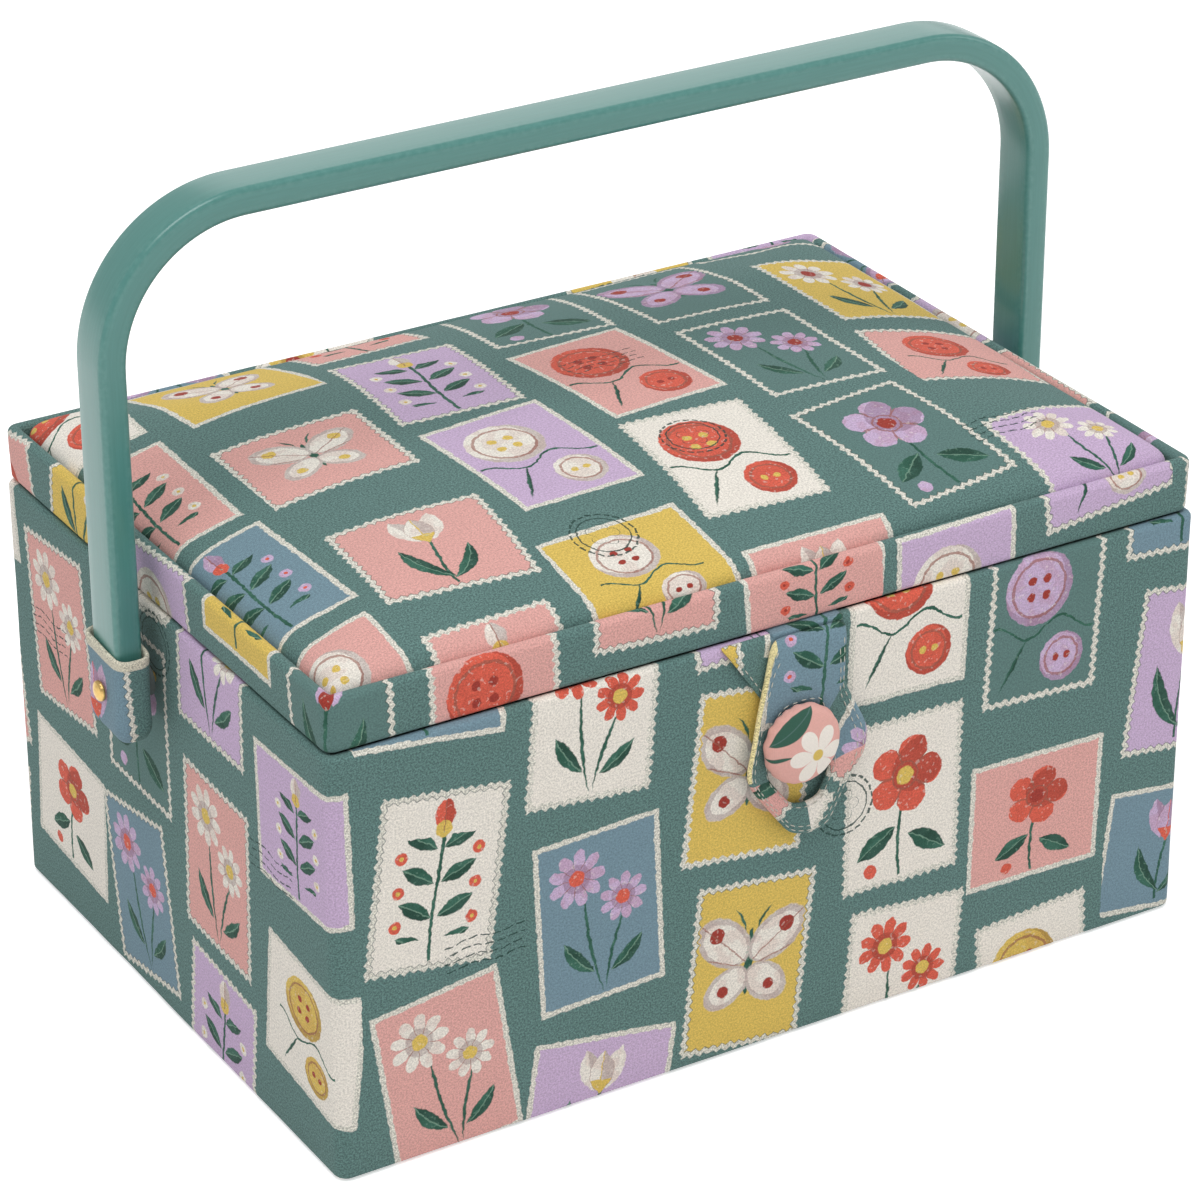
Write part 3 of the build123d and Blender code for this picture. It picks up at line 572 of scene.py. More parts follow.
def print_group():
    """The whole printed cotton on a vector in millimetres: patches, motifs, stitched marks and chalky ink."""
    tree, entry, leave = group_tree(
        "Printed cotton",
        [("Vector", "Vector", None), ("Seed", "Float", 0.0), ("Ground", "Color", GROUND),
         ("Fold", "Float", 0.0), ("Fold Colour", "Color", srgb(224, 212, 168))],
        [("Colour", "Color"), ("Height", "Float")])
    vector = entry.outputs["Vector"]
    seed = Signal(tree, entry.outputs["Seed"])
    wobble = add_node(tree, "ShaderNodeTexNoise", ("Vector", vector), ("Scale", 0.5), ("Detail", 3.0))
    shake = add_node(tree, "ShaderNodeSeparateColor", (0, wobble["Color"]))
    across, up = parts_of(tree, vector)
    across = across + (Signal(tree, shake[0]) - 0.5) * 1.3
    up = up + (Signal(tree, shake[1]) - 0.5) * 1.3

    layout = place_group(tree, patch_group(), Across=across, Up=up, Seed=seed)
    x, y, edge, kind, motif, trim = (
        Signal(tree, layout.outputs[name]) for name in ("X", "Y", "Edge", "Kind", "Motif", "Trim"))
    paper = edge.ramp(-0.1, 0.25)
    panel = edge.ramp(1.5, 1.75)
    outline = (edge - 1.65).size().below(0.16) * trim.above(0.55)

    layers = {label: None for label in MOTIF_LAYERS}
    for number, (name, draw) in enumerate(MOTIFS):
        picked = (motif * len(MOTIFS)).floor().math("COMPARE", float(number), 0.5)
        drawn = place_group(tree, motif_group(name, draw), X=x, Y=y)
        for label in layers:
            part = Signal(tree, drawn.outputs[label]) * picked
            layers[label] = part if layers[label] is None else layers[label] + part
    inside = panel.above(0.5) * edge.ramp(2.0, 2.3)

    chalk = speckle(tree, vector, 1.1, 4.0, 0.75)
    dry = chalk.ramp(0.30, 0.42)
    blotch = speckle(tree, vector, 0.16, 2.0)
    colour = tinted(tree, paper * (dry * 0.35 + 0.65), entry.outputs["Ground"], BORDER)
    patch = palette(tree, kind, [(row[0], row[1]) for row in PATCH_COLOURS])
    colour = tinted(tree, panel, colour, patch)
    colour = tinted(tree, outline * 0.55, colour, DARK_INK)
    leaf_tone = tinted(tree, blotch.ramp(0.42, 0.6), LEAF_GREEN, srgb(58, 104, 88))
    colour = tinted(tree, layers["Leaves"] * inside, colour, leaf_tone)
    flower = palette(tree, kind, [(row[0], row[2]) for row in PATCH_COLOURS])
    shaded = tinted(tree, blotch.ramp(0.47, 0.56) * 0.16, flower, DEEP_RED)
    colour = tinted(tree, layers["Petals"] * inside, colour, shaded)
    shade = (0.66, 0.60, 0.62)
    darker = add_node(tree, "ShaderNodeVectorMath", (0, colour), (1, shade), operation="MULTIPLY")
    colour = tinted(tree, layers["Tones"] * inside * (dry * 0.4 + 0.45), colour, darker[0])
    heart = palette(tree, kind, [(row[0], row[3]) for row in PATCH_COLOURS])
    colour = tinted(tree, layers["Hearts"] * inside, colour, heart)
    light_line = tinted(tree, layers["Petals"], srgb(120, 155, 135), srgb(150, 90, 75))
    colour = tinted(tree, layers["Lines"] * inside * 0.7, colour, light_line)
    fleck = speckle(tree, vector, 0.75, 1.0).ramp(0.62, 0.68) * inside
    colour = tinted(tree, fleck * layers["Petals"] * 0.3, colour, CREAM)
    colour = tinted(tree, fleck * layers["Leaves"] * 0.35, colour, srgb(120, 158, 138))
    marks = place_group(tree, postmark_group(), Across=across, Up=up, Seed=seed)
    colour = tinted(tree, Signal(tree, marks.outputs["Mark"]) * (dry * 0.5 + 0.4), colour, DARK_INK)

    fold = Signal(tree, entry.outputs["Fold"]) + (chalk - 0.5) * 0.3
    colour = tinted(tree, fold.ramp(0.42, 0.5), colour, entry.outputs["Fold Colour"])
    weave = place_group(tree, bpy.data.node_groups["Plain weave"], Vector=vector)
    grain = (speckle(tree, vector, 1.9, 2.0, 0.8).ramp(0.33, 0.67) - 0.5) * (0.8 - panel * 0.42) + 1.0
    # The weave's level paints shade between the threads; grain and blotch are the cloth's own tone.
    level = Signal(tree, weave.outputs["Shade"]) * grain * (blotch * 0.08 + 0.98)
    set_inputs(tree, leave, Colour=scaled(tree, colour, level), Height=weave.outputs["Height"])
    return tree


# Materials


FINISHES = {}


def new_material(name):
    """An empty material with its shader, and the shader's output linked."""
    material = bpy.data.materials.new(f"sewn_{name}")
    FINISHES[name] = material
    material.use_nodes = True
    tree = material.node_tree
    tree.nodes.clear()
    shader = tree.nodes.new("ShaderNodeBsdfPrincipled")
    output = tree.nodes.new("ShaderNodeOutputMaterial")
    tree.links.new(shader.outputs[0], output.inputs["Surface"])
    return material, tree, shader


def cloth_vector(tree, offset=(0.0, 0.0), turn=0.0):
    """The piece's own cloth coordinates, in millimetres."""
    lay = add_node(tree, "ShaderNodeUVMap", uv_map="cloth")
    return add_node(tree, "ShaderNodeMapping", ("Scale", (1 / MM, 1 / MM, 1.0)),
                    ("Location", (offset[0], offset[1], 0.0)), ("Rotation", (0.0, 0.0, turn)),
                    ("Vector", lay["UV"]))["Vector"]


def object_vector(tree):
    """The object's coordinates, in millimetres."""
    place = add_node(tree, "ShaderNodeTexCoord")
    return add_node(tree, "ShaderNodeMapping", ("Scale", (1 / MM, 1 / MM, 1 / MM)),
                    ("Vector", place["Object"]))["Vector"]


def add_bump(tree, shader, height, strength, distance):
    """Raise a surface's fine relief from a height."""
    bump = add_node(tree, "ShaderNodeBump", ("Strength", strength), ("Distance", distance),
                    ("Height", height))
    tree.links.new(bump["Normal"], shader.inputs["Normal"])


def printed_cotton(name, offset=(0.0, 0.0), seed=0.0, turn=0.0, fold_colour=srgb(206, 201, 182)):
    """Printed cotton for one piece; offset and seed choose its part of the print."""
    material, tree, shader = new_material(f"printed_cotton_{name}")
    vector = cloth_vector(tree, offset, turn)
    fold = add_node(tree, "ShaderNodeAttribute", attribute_name="fold")["Fac"]
    drawn = place_group(tree, bpy.data.node_groups["Printed cotton"], Vector=vector, Seed=seed,
                        Fold=fold, Fold_Colour=fold_colour)
    set_inputs(tree, shader, Base_Color=drawn.outputs["Colour"], Roughness=0.88, Sheen_Weight=0.06,
               Specular_IOR_Level=0.25)
    add_bump(tree, shader, drawn.outputs["Height"], 0.35, 0.12 * MM)
    return material


def plain_cotton(name, colour, thread=0.4):
    """Plain woven cotton with slubs, for the lining."""
    material, tree, shader = new_material(name)
    vector = object_vector(tree)
    weave = place_group(tree, bpy.data.node_groups["Plain weave"], Vector=vector, Thread=thread)
    soft = speckle(tree, vector, 0.05, 3.0)
    # The weave's level paints shade between the threads; the soft noise is the cotton's own tone.
    level = Signal(tree, weave.outputs["Shade"]) * (soft * 0.12 + 0.97)
    set_inputs(tree, shader, Base_Color=scaled(tree, colour[:3], level), Roughness=0.9, Sheen_Weight=0.05)
    add_bump(tree, shader, weave.outputs["Height"], 0.4, 0.12 * MM)
    return material


def painted_wood():
    """Satin teal paint over straight-grained bent wood, thinner along the edges."""
    material, tree, shader = new_material("painted_wood")
    vector = cloth_vector(tree)
    stretched = add_node(tree, "ShaderNodeMapping", ("Scale", (0.035, 0.9, 1.0)), ("Vector", vector))
    grain = speckle(tree, stretched["Vector"], 1.6, 5.0, 0.6)
    cloud = speckle(tree, vector, 0.02, 2.0)
    edge = Signal(tree, add_node(tree, "ShaderNodeAttribute", attribute_name="edge")["Fac"])
    rub = edge * speckle(tree, vector, 0.6, 3.0).ramp(0.35, 0.7)
    colour = tinted(tree, grain.ramp(0.3, 0.7) * 0.6 + cloud * 0.2, srgb(71, 130, 123), srgb(79, 139, 132))
    colour = tinted(tree, rub * 0.25, colour, srgb(108, 158, 150))
    set_inputs(tree, shader, Base_Color=colour, Roughness=grain * 0.08 + 0.28, Coat_Weight=0.45,
               Coat_Roughness=0.22)
    add_bump(tree, shader, grain.source, 0.12, 0.08 * MM)
    return material


def metal(name, colour, roughness, scratch):
    """Pressed metal with fine scratches and dulled patches."""
    material, tree, shader = new_material(name)
    vector = object_vector(tree)
    dull = speckle(tree, vector, 0.9, 4.0, 0.6)
    fine = speckle(tree, vector, 6.0, 2.0)
    worn = tinted(tree, dull.ramp(0.4, 0.75) * 0.6, colour, darkened(colour, 0.72))
    set_inputs(tree, shader, Base_Color=worn, Roughness=dull * 0.18 + roughness, Metallic=1.0)
    add_bump(tree, shader, fine.source, scratch, 0.05 * MM)
    return material


def clear_plastic():
    """Frosted clear moulding with faint flow marks and rubbed edges."""
    material, tree, shader = new_material("clear_plastic")
    vector = object_vector(tree)
    flow = speckle(tree, vector, 0.05, 4.0, 0.55)
    fine = speckle(tree, vector, 1.7, 3.0)
    colour = tinted(tree, flow.ramp(0.3, 0.7), srgb(232, 238, 240), srgb(222, 231, 235))
    set_inputs(tree, shader, Base_Color=colour, Roughness=fine * 0.18 + 0.22, Alpha=flow * 0.16 + 0.30,
               IOR=1.5)
    add_bump(tree, shader, fine.source, 0.12, 0.05 * MM)
    return material


def card(name, colour, flecks):
    """Raw board or paper with fibres and flecks."""
    material, tree, shader = new_material(name)
    vector = object_vector(tree)
    pulp = speckle(tree, vector, 0.6, 5.0, 0.7)
    fleck = speckle(tree, vector, 2.3, 2.0).ramp(0.66, 0.74)
    base = tinted(tree, pulp.ramp(0.35, 0.65), colour, darkened(colour, 0.8))
    flecked = tinted(tree, fleck * flecks, base, srgb(60, 55, 48))
    set_inputs(tree, shader, Base_Color=flecked, Roughness=pulp * 0.1 + 0.85)
    add_bump(tree, shader, pulp.source, 0.3, 0.15 * MM)
    return material


def thread_finish(name, colour):
    """Twisted sewing thread, with painted shade in the grooves between its plies."""
    material, tree, shader = new_material(name)
    vector = object_vector(tree)
    twist = add_node(tree, "ShaderNodeTexWave", ("Scale", 1.6), ("Distortion", 1.5),
                     ("Vector", vector), bands_direction="DIAGONAL")
    ply = Signal(tree, twist["Fac"])
    # Darker where the twist's relief is low: painted shade in the grooves between the plies.
    spun = tinted(tree, ply, darkened(colour, 0.7), colour)
    set_inputs(tree, shader, Base_Color=spun, Roughness=0.75)
    add_bump(tree, shader, ply.source, 0.4, 0.05 * MM)
    return material


def moulded_plastic():
    """Matt moulded washer plastic."""
    material, tree, shader = new_material("plain_plastic")
    vector = object_vector(tree)
    fine = speckle(tree, vector, 2.0, 3.0)
    colour = tinted(tree, fine, srgb(78, 86, 84), srgb(92, 100, 98))
    set_inputs(tree, shader, Base_Color=colour, Roughness=fine * 0.15 + 0.5)
    add_bump(tree, shader, fine.source, 0.15, 0.05 * MM)
    return material


def button_print():
    """The covered button's cotton: one blossom with a leaf on pink."""
    material, tree, shader = new_material("button_cotton")
    vector = cloth_vector(tree)
    x, y = parts_of(tree, vector)
    flower, between, distance = petals(x, y, 2.6, -2.4, 8.2, 6, 0.62)
    heart = (1.6 - distance).ramp(-0.2, 0.2)
    broad_leaf, rib, _ = leaf(x, y, -4.2, 6.4, 34, 16, 5.6, -0.6)
    side_leaf, _, _ = leaf(x, y, -9.0, -1.5, 4, 9, 1.3)
    chalk = speckle(tree, vector, 1.1, 4.0, 0.75)
    colour = tinted(tree, chalk.ramp(0.4, 0.7) * 0.2, srgb(226, 170, 160), srgb(236, 190, 180))
    colour = tinted(tree, broad_leaf.most(side_leaf), colour, LEAF_GREEN)
    colour = tinted(tree, rib * 0.5, colour, GROUND)
    colour = tinted(tree, flower, colour, srgb(240, 232, 222))
    colour = tinted(tree, between * 0.3, colour, PINK)
    colour = tinted(tree, heart, colour, MUSTARD)
    weave = place_group(tree, bpy.data.node_groups["Plain weave"], Vector=vector)
    # The weave's level paints shade between the threads.
    set_inputs(tree, shader, Base_Color=scaled(tree, colour, weave.outputs["Shade"]), Roughness=0.8)
    add_bump(tree, shader, weave.outputs["Height"], 0.3, 0.1 * MM)
    return material


def make_materials():
    """Build the shared node groups and the plain finishes."""
    weave_group()
    print_group()
    plain_cotton("lining_cotton", srgb(226, 219, 204))
    plain_cotton("wadding", srgb(240, 238, 230), 0.9)
    plain_cotton("elastic", srgb(236, 233, 224), 0.7)
    painted_wood()
    metal("brass", srgb(222, 186, 116), 0.22, 0.1)
    metal("steel", srgb(190, 190, 188), 0.32, 0.15)
    clear_plastic()
    card("greyboard", srgb(150, 142, 130), 0.5)
    card("base_paper", srgb(52, 56, 55), 0.2)
    thread_finish("thread", srgb(214, 212, 200))
    moulded_plastic()
    button_print()


# Mesh helpers


def clamped(share):
    """A share kept between 0 and 1."""
    return max(0.0, min(1.0, share))


def mesh_object(name, points, faces, material, uvs=None, attributes=None):
    """A new object at the origin; uvs are one pair for each corner of each face, in metres."""
    mesh = bpy.data.meshes.new(name)
    mesh.from_pydata([tuple(point) for point in points], [], faces)
    if uvs is not None:
        layer = mesh.uv_layers.new(name="cloth")
        layer.data.foreach_set("uv", [number for pair in uvs for number in pair])
    for label, values in (attributes or {}).items():
        attribute = mesh.attributes.new(label, "FLOAT", "POINT")
        attribute.data.foreach_set("value", values)
    mesh.polygons.foreach_set("use_smooth", [True] * len(mesh.polygons))
    mesh.materials.append(FINISHES[material] if isinstance(material, str) else material)
    mesh.update()
    piece = bpy.data.objects.new(name, mesh)
    bpy.context.scene.collection.objects.link(piece)
    return piece


def grid_faces(rows, columns, wrap_rows=False, wrap_columns=False):
    """Faces of a grid of points kept row by row, and the row and column of each face's corners."""
    faces = []
    corners = []
    for row in range(rows if wrap_rows else rows - 1):
        for column in range(columns if wrap_columns else columns - 1):
            places = ((row, column), (row + 1, column), (row + 1, column + 1), (row, column + 1))
            faces.append([(r % rows) * columns + c % columns for r, c in places])
            corners.extend(places)
    return faces, corners


def settle(piece):
    """Turn a piece's modifiers into plain mesh."""
    bpy.context.view_layer.update()
    graph = bpy.context.evaluated_depsgraph_get()
    made = bpy.data.meshes.new_from_object(piece.evaluated_get(graph))
    piece.modifiers.clear()
    piece.data = made
    made.polygons.foreach_set("use_smooth", [True] * len(made.polygons))
    return piece


def thicken(piece, thickness, offset=-1.0):
    """Give a sheet its thickness."""
    solid = piece.modifiers.new("thickness", "SOLIDIFY")
    solid.thickness = thickness
    solid.offset = offset
    solid.use_even_offset = True
    return piece


def rounder(piece):
    """Smooth a piece with one level of subdivision surface."""
    subdivision = piece.modifiers.new("rounding", "SUBSURF")
    subdivision.levels = 1
    subdivision.render_levels = 1
    return piece


def turn_outwards(piece):
    """Turn every face of a piece outwards."""
    built = bmesh.new()
    built.from_mesh(piece.data)
    bmesh.ops.recalc_face_normals(built, faces=built.faces[:])
    built.to_mesh(piece.data)
    built.free()


def lay_rows(built, rows):
    """Smooth faces between neighbouring rows of vertices."""
    for first, second in zip(rows, rows[1:]):
        for column in range(len(first) - 1):
            ends = (first[column], second[column], second[column + 1], first[column + 1])
            built.faces.new(ends).smooth = True


def sew_on(built, sewn, thickness, lay):
    """Thicken the faces that aren't in sewn; lay gives the cloth coordinates of a place."""
    built.normal_update()
    added = [face for face in built.faces if face not in sewn]
    bmesh.ops.solidify(built, geom=added, thickness=thickness)
    layer = built.loops.layers.uv["cloth"]
    for face in built.faces:
        if face not in sewn:
            face.smooth = True
            for loop in face.loops:
                loop[layer].uv = lay(loop.vert.co)


def outline_stations(half_x, half_y, radius, corner_steps, spacing):
    """Stations round an upright outline, left to right as seen from outside, from the middle of the back."""
    marks = []

    def side(start, end, normal):
        length = math.hypot((end[0] - start[0]) * (half_x - radius), (end[1] - start[1]) * (half_y - radius))
        steps = max(1, round(length / spacing))
        for step in range(steps):
            share = step / steps
            marks.append((start[0] + (end[0] - start[0]) * share,
                          start[1] + (end[1] - start[1]) * share, normal))

    def corner(place, first_angle):
        for step in range(corner_steps):
            angle = math.radians(first_angle + 90 * step / corner_steps)
            marks.append((place[0], place[1], (math.cos(angle), math.sin(angle))))

    side((0, 1), (-1, 1), (0, 1))
    corner((-1, 1), 90)
    side((-1, 1), (-1, -1), (-1, 0))
    corner((-1, -1), 180)
    side((-1, -1), (1, -1), (0, -1))
    corner((1, -1), 270)
    side((1, -1), (1, 1), (1, 0))
    corner((1, 1), 0)
    side((1, 1), (0, 1), (0, 1))
    stations = []
    run = 0.0
    before = None
    for share_x, share_y, normal in marks:
        here = (share_x * (half_x - radius) + normal[0] * radius,
                share_y * (half_y - radius) + normal[1] * radius)
        if before is not None:
            run += math.dist(before, here)
        stations.append((share_x, share_y, normal, run))
        before = here
    first = (0.0, half_y)
    return stations, run + math.dist(before, first)


def at_inset(station, half_x, half_y, radius, inset):
    """A station's point on the outline moved in by inset."""
    share_x, share_y, normal, _ = station
    turn = max(radius, inset + 0.25 * MM)
    return (share_x * (half_x - turn) + normal[0] * (turn - inset),
            share_y * (half_y - turn) + normal[1] * (turn - inset))


def sweep_wall(name, low, high, radius, profile, material, closed=False, spacing=6 * MM, unevenness=0.0):
    """Cloth round a box: profile is (inset, height) points of its outer face, from below to above."""
    half_x = (high.x - low.x) / 2
    half_y = (high.y - low.y) / 2
    middle_y = (high.y + low.y) / 2
    stations, around = outline_stations(half_x, half_y, radius, 6, spacing)
    runs = [0.0]
    loop = profile + profile[:1] if closed else profile
    for first, second in zip(loop, loop[1:]):
        runs.append(runs[-1] + math.dist(first, second))
    points = []
    for station in stations:
        normal = station[2]
        for inset, height in profile:
            x, y = at_inset(station, half_x, half_y, radius, inset)
            point = Vector((x, y + middle_y, height))
            if unevenness and inset < 1.5 * MM:
                shift = noise.noise(point * 28) * unevenness + noise.noise(point * 90) * unevenness * 0.35
                point += Vector((normal[0], normal[1], 0)) * shift
            points.append(point)
    faces, corners = grid_faces(len(stations), len(profile), True, closed)
    uvs = []
    for row, column in corners:
        across = stations[row][3] if row < len(stations) else around
        uvs.append((across, runs[column]))
    return mesh_object(name, points, faces, material, uvs), around, runs[-1]


def arc_points(centre, radius, first, last, steps):
    """Points of an arc as (inset, height); angles in degrees from the outside, upwards."""
    points = []
    for step in range(steps + 1):
        angle = math.radians(first + (last - first) * step / steps)
        points.append((centre[0] - radius * math.cos(angle), centre[1] + radius * math.sin(angle)))
    return points


def straight(start, end, spacing):
    """Points between two profile points, without the ends."""
    steps = max(1, round(math.dist(start, end) / spacing))
    return [(start[0] + (end[0] - start[0]) * step / steps, start[1] + (end[1] - start[1]) * step / steps)
            for step in range(1, steps)]


# Settings


def metres(name, description, millimetres):
    """A length that a user can set, given in millimetres."""
    return FloatProperty(name=name, description=description, default=millimetres * MM, min=0.0,
                         unit="LENGTH", subtype="DISTANCE", precision=5)


class SewingBoxCase(bpy.types.PropertyGroup):
    cloth: metres("Cloth thickness", "Thickness of the printed cotton", 0.5)
    corner: metres("Corner radius", "Radius of the case's upright corners", 3.5)
    wall: metres("Wall thickness", "Board with its cloth on both sides", 3.7)
    turn_in: metres("Turn-in", "How far the cloth goes down inside the wall", 14.0)
    turn_under: metres("Turn-under", "How far the cloth goes under the base", 12.0)
    unevenness: metres("Unevenness", "How far the glued cloth leaves a flat wall", 0.22)


class SewingBoxLid(bpy.types.PropertyGroup):
    rim: metres("Rim thickness", "Rim strip with its cloth", 3.7)
    lip: metres("Lip radius", "Roll along the rim's upper edge", 1.75)
    crown: metres("Crown", "Height of the padding above the lid board", 16.7)
    reach: metres("Crown reach", "How far in from the edge the padding keeps rising", 60.0)
    grid: metres("Cloth grid", "Size of the simulated cloth's meshes", 4.4)
    pressure: FloatProperty(name="Padding pressure", description="Pressure of the wadding under the cloth",
                            default=4.0, min=0.0)
    cap: metres("Movement cap", "Furthest that the padding may move the cloth", 5.0)
    steps: IntProperty(name="Simulation steps", description="Frames of the cloth simulation",
                       default=20, min=1)


class SewingBoxHandle(bpy.types.PropertyGroup):
    bend: metres("Bend radius", "Outer radius of the handle's bends", 42.0)
    edge: metres("Edge radius", "Rounding of the bar's long edges", 1.4)
    foot: metres("Foot radius", "Rounding of the bar's ends", 5.0)


class SewingBoxLoop(bpy.types.PropertyGroup):
    stitch: metres("Stitch length", "Length of one running stitch", 1.8)
    gap: metres("Stitch gap", "Space between two stitches", 0.8)
    thread: metres("Thread", "Thickness of the sewing thread", 0.3)


class SewingBoxStage(bpy.types.PropertyGroup):
    floor: FloatVectorProperty(name="Floor", description="Colour of the floor and the backdrop",
                               subtype="COLOR", default=(0.9, 0.9, 0.9), min=0.0, max=1.0)
    lamp: FloatProperty(name="Key lamp", description="Power of the large soft lamp", default=15.8,
                        subtype="POWER")
    sky: FloatProperty(name="Room light", description="Strength of the even light", default=0.6, min=0.0)


# Pieces


class SEWINGBOX_OT_finishes(bpy.types.Operator):
    """Build the materials and give them to the CAD nodes that stay"""

    bl_idname = "sewingbox.finishes"
    bl_label = "Materials"

    def execute(self, context):
        make_materials()
        finishes = {
            "greyboard": ("base_board", "front_board", "back_board", "left_board", "right_board", "lid_board",
                          "lid_front_strip", "lid_back_strip", "lid_left_strip", "lid_right_strip"),
            "base_paper": ("base_sheet",),
            "lining_cotton": ("body_liner", "lid_lining"),
            "elastic": ("pocket_elastic",),
            "clear_plastic": ("tray",),
            "plain_plastic": ("button_anchor", "pivot_spacers"),
            "thread": ("button_shank",),
            "steel": ("button_shell", "button_back", "rivet_washers"),
            "brass": ("handle_rivets",),
        }
        for finish, nodes in finishes.items():
            for name in nodes:
                node = frame["nodes"][name]
                node.data.materials.clear()
                node.data.materials.append(FINISHES[finish])
        return {"FINISHED"}


class SEWINGBOX_OT_case_cloth(bpy.types.Operator):
    """Wrap the case in printed cotton, turned in over the walls and under the base"""

    bl_idname = "sewingbox.case_cloth"
    bl_label = "Case cloth"

    def execute(self, context):
        size = context.scene.sewingbox_case
        low, high = COVER_LOW, COVER_HIGH.copy()
        high.z += 0.15 * MM
        bottom_round = 1.1 * MM
        top_round = 1.5 * MM
        profile = [(size.turn_under, low.z), (size.turn_under * 0.5, low.z), (2.2 * MM, low.z)]
        profile += arc_points((bottom_round, low.z + bottom_round), bottom_round, -90, 0, 3)
        profile += straight(profile[-1], (0, high.z - top_round), 6 * MM)
        profile += arc_points((top_round, high.z - top_round), top_round, 0, 90, 4)
        inner = size.wall
        profile += arc_points((inner - top_round, high.z - top_round), top_round, 90, 180, 4)
        profile += straight(profile[-1], (inner, high.z - size.turn_in), 5 * MM)
        profile.append((inner, high.z - size.turn_in))
        cloth, around, length = sweep_wall(
            "case_cloth", low, high, size.corner, profile,
            printed_cotton("case", (0.0, 20.0), 4.0), unevenness=size.unevenness)
        settle(thicken(cloth, size.cloth))
        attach(cloth, "box")
        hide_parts("body_cover")
        around + 12 * MM
        return {"FINISHED"}


class SEWINGBOX_OT_lid_rim(bpy.types.Operator):
    """Wrap the lid's rim in printed cotton, with a rolled upper lip"""

    bl_idname = "sewingbox.lid_rim"
    bl_label = "Lid rim"

    def execute(self, context):
        size = context.scene.sewingbox_lid
        low, high = RIM_LOW.copy(), RIM_HIGH
        low.z -= 0.4 * MM
        lip = size.lip
        lower = 1.3 * MM
        waist = 0.35 * MM
        profile = arc_points((lower + waist, low.z + lower), lower, -90, 0, 3)
        profile += [(waist * 0.8, low.z + 3.0 * MM), (waist * 0.45, low.z + 6.0 * MM),
                    (0.05 * MM, low.z + 9.0 * MM)]
        profile += arc_points((lip, high.z - lip), lip, 0, 90, 5)
        profile += arc_points((size.rim - lip, high.z - lip), lip, 90, 180, 5)
        profile += straight(profile[-1], (size.rim, low.z + lower), 4 * MM)
        profile += arc_points((size.rim - lower, low.z + lower), lower, 180, 270, 3)
        rim, around, length = sweep_wall(
            "lid_rim_cloth", low, high, 3.5 * MM, profile,
            printed_cotton("rim", (31.0, 148.0), 11.0), closed=True, unevenness=0.18 * MM)
        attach(rim, "lid")
        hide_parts("lid_rim_cover")
        around + 12 * MM
        length * 0.56
        return {"FINISHED"}


def crown_height(inset, crown, reach):
    """Rise of the padding at a distance in from its edge."""
    share = min(max(inset, 0.0) / reach, 1.0)
    return crown * (1 - (1 - share) ** 2.4) ** (1 / 2.4)


def crown_runs(half, crown, reach):
    """Length along the padding's surface from its edge, for steps of a fifth of a millimetre."""
    step = 0.2 * MM
    runs = [0.0]
    for number in range(int(half / step) + 2):
        rise = crown_height((number + 1) * step, crown, reach) - crown_height(number * step, crown, reach)
        runs.append(runs[-1] + math.hypot(step, rise))
    return runs, step


def cloth_place(distance, half, runs, step):
    """Cloth coordinate of a point that lies this far from the middle of the padding."""
    inset = min(max(half - abs(distance), 0.0), half)
    whole = int(inset / step)
    share = inset / step - whole
    run = runs[whole] + (runs[whole + 1] - runs[whole]) * share
    total = runs[int(half / step)]
    return math.copysign(total - run, distance)


def grid_places(half, spacing):
    """Places across the padding, closer together at its edges."""
    insets = [0.0, 0.3 * MM, 1.0 * MM, 2.2 * MM, 4.0 * MM, 6.6 * MM, 10.0 * MM]
    inner = half - insets[-1]
    steps = max(2, round(inner / spacing))
    for step in range(1, steps + 1):
        insets.append(insets[-1] + inner / steps if step < steps else half)
    left = [-half + inset for inset in insets[:-1]]
    return left + [0.0] + [-place for place in reversed(left)]


def puff(pad, settings, pinned):
    """Press wadding against the pad's cloth by simulation, and keep the result within the cap."""
    start = [vertex.co.copy() for vertex in pad.data.vertices]
    group = pad.vertex_groups.new(name="held")
    for index, weight in pinned.items():
        group.add([index], weight, "REPLACE")
    cloth = pad.modifiers.new("wadding", "CLOTH")
    cloth.settings.quality = 6
    cloth.settings.mass = 0.15
    cloth.settings.tension_stiffness = 12
    cloth.settings.compression_stiffness = 12
    cloth.settings.shear_stiffness = 6
    cloth.settings.bending_stiffness = 0.6
    cloth.settings.use_pressure = True
    cloth.settings.uniform_pressure_force = settings.pressure
    cloth.settings.vertex_group_mass = "held"
    cloth.settings.effector_weights.gravity = 0
    cloth.collision_settings.use_collision = False
    cloth.point_cache.frame_start = 1
    cloth.point_cache.frame_end = settings.steps
    scene = bpy.context.scene
    for step in range(1, settings.steps + 1):
        scene.frame_set(step)
    graph = bpy.context.evaluated_depsgraph_get()
    moved = pad.evaluated_get(graph).to_mesh()
    places = [vertex.co.copy() for vertex in moved.vertices]
    pad.evaluated_get(graph).to_mesh_clear()
    pad.modifiers.clear()
    scene.frame_set(1)
    for vertex, before, after in zip(pad.data.vertices, start, places):
        move = after - before
        if move.length > settings.cap:
            move = move.normalized() * settings.cap
        vertex.co = before + move


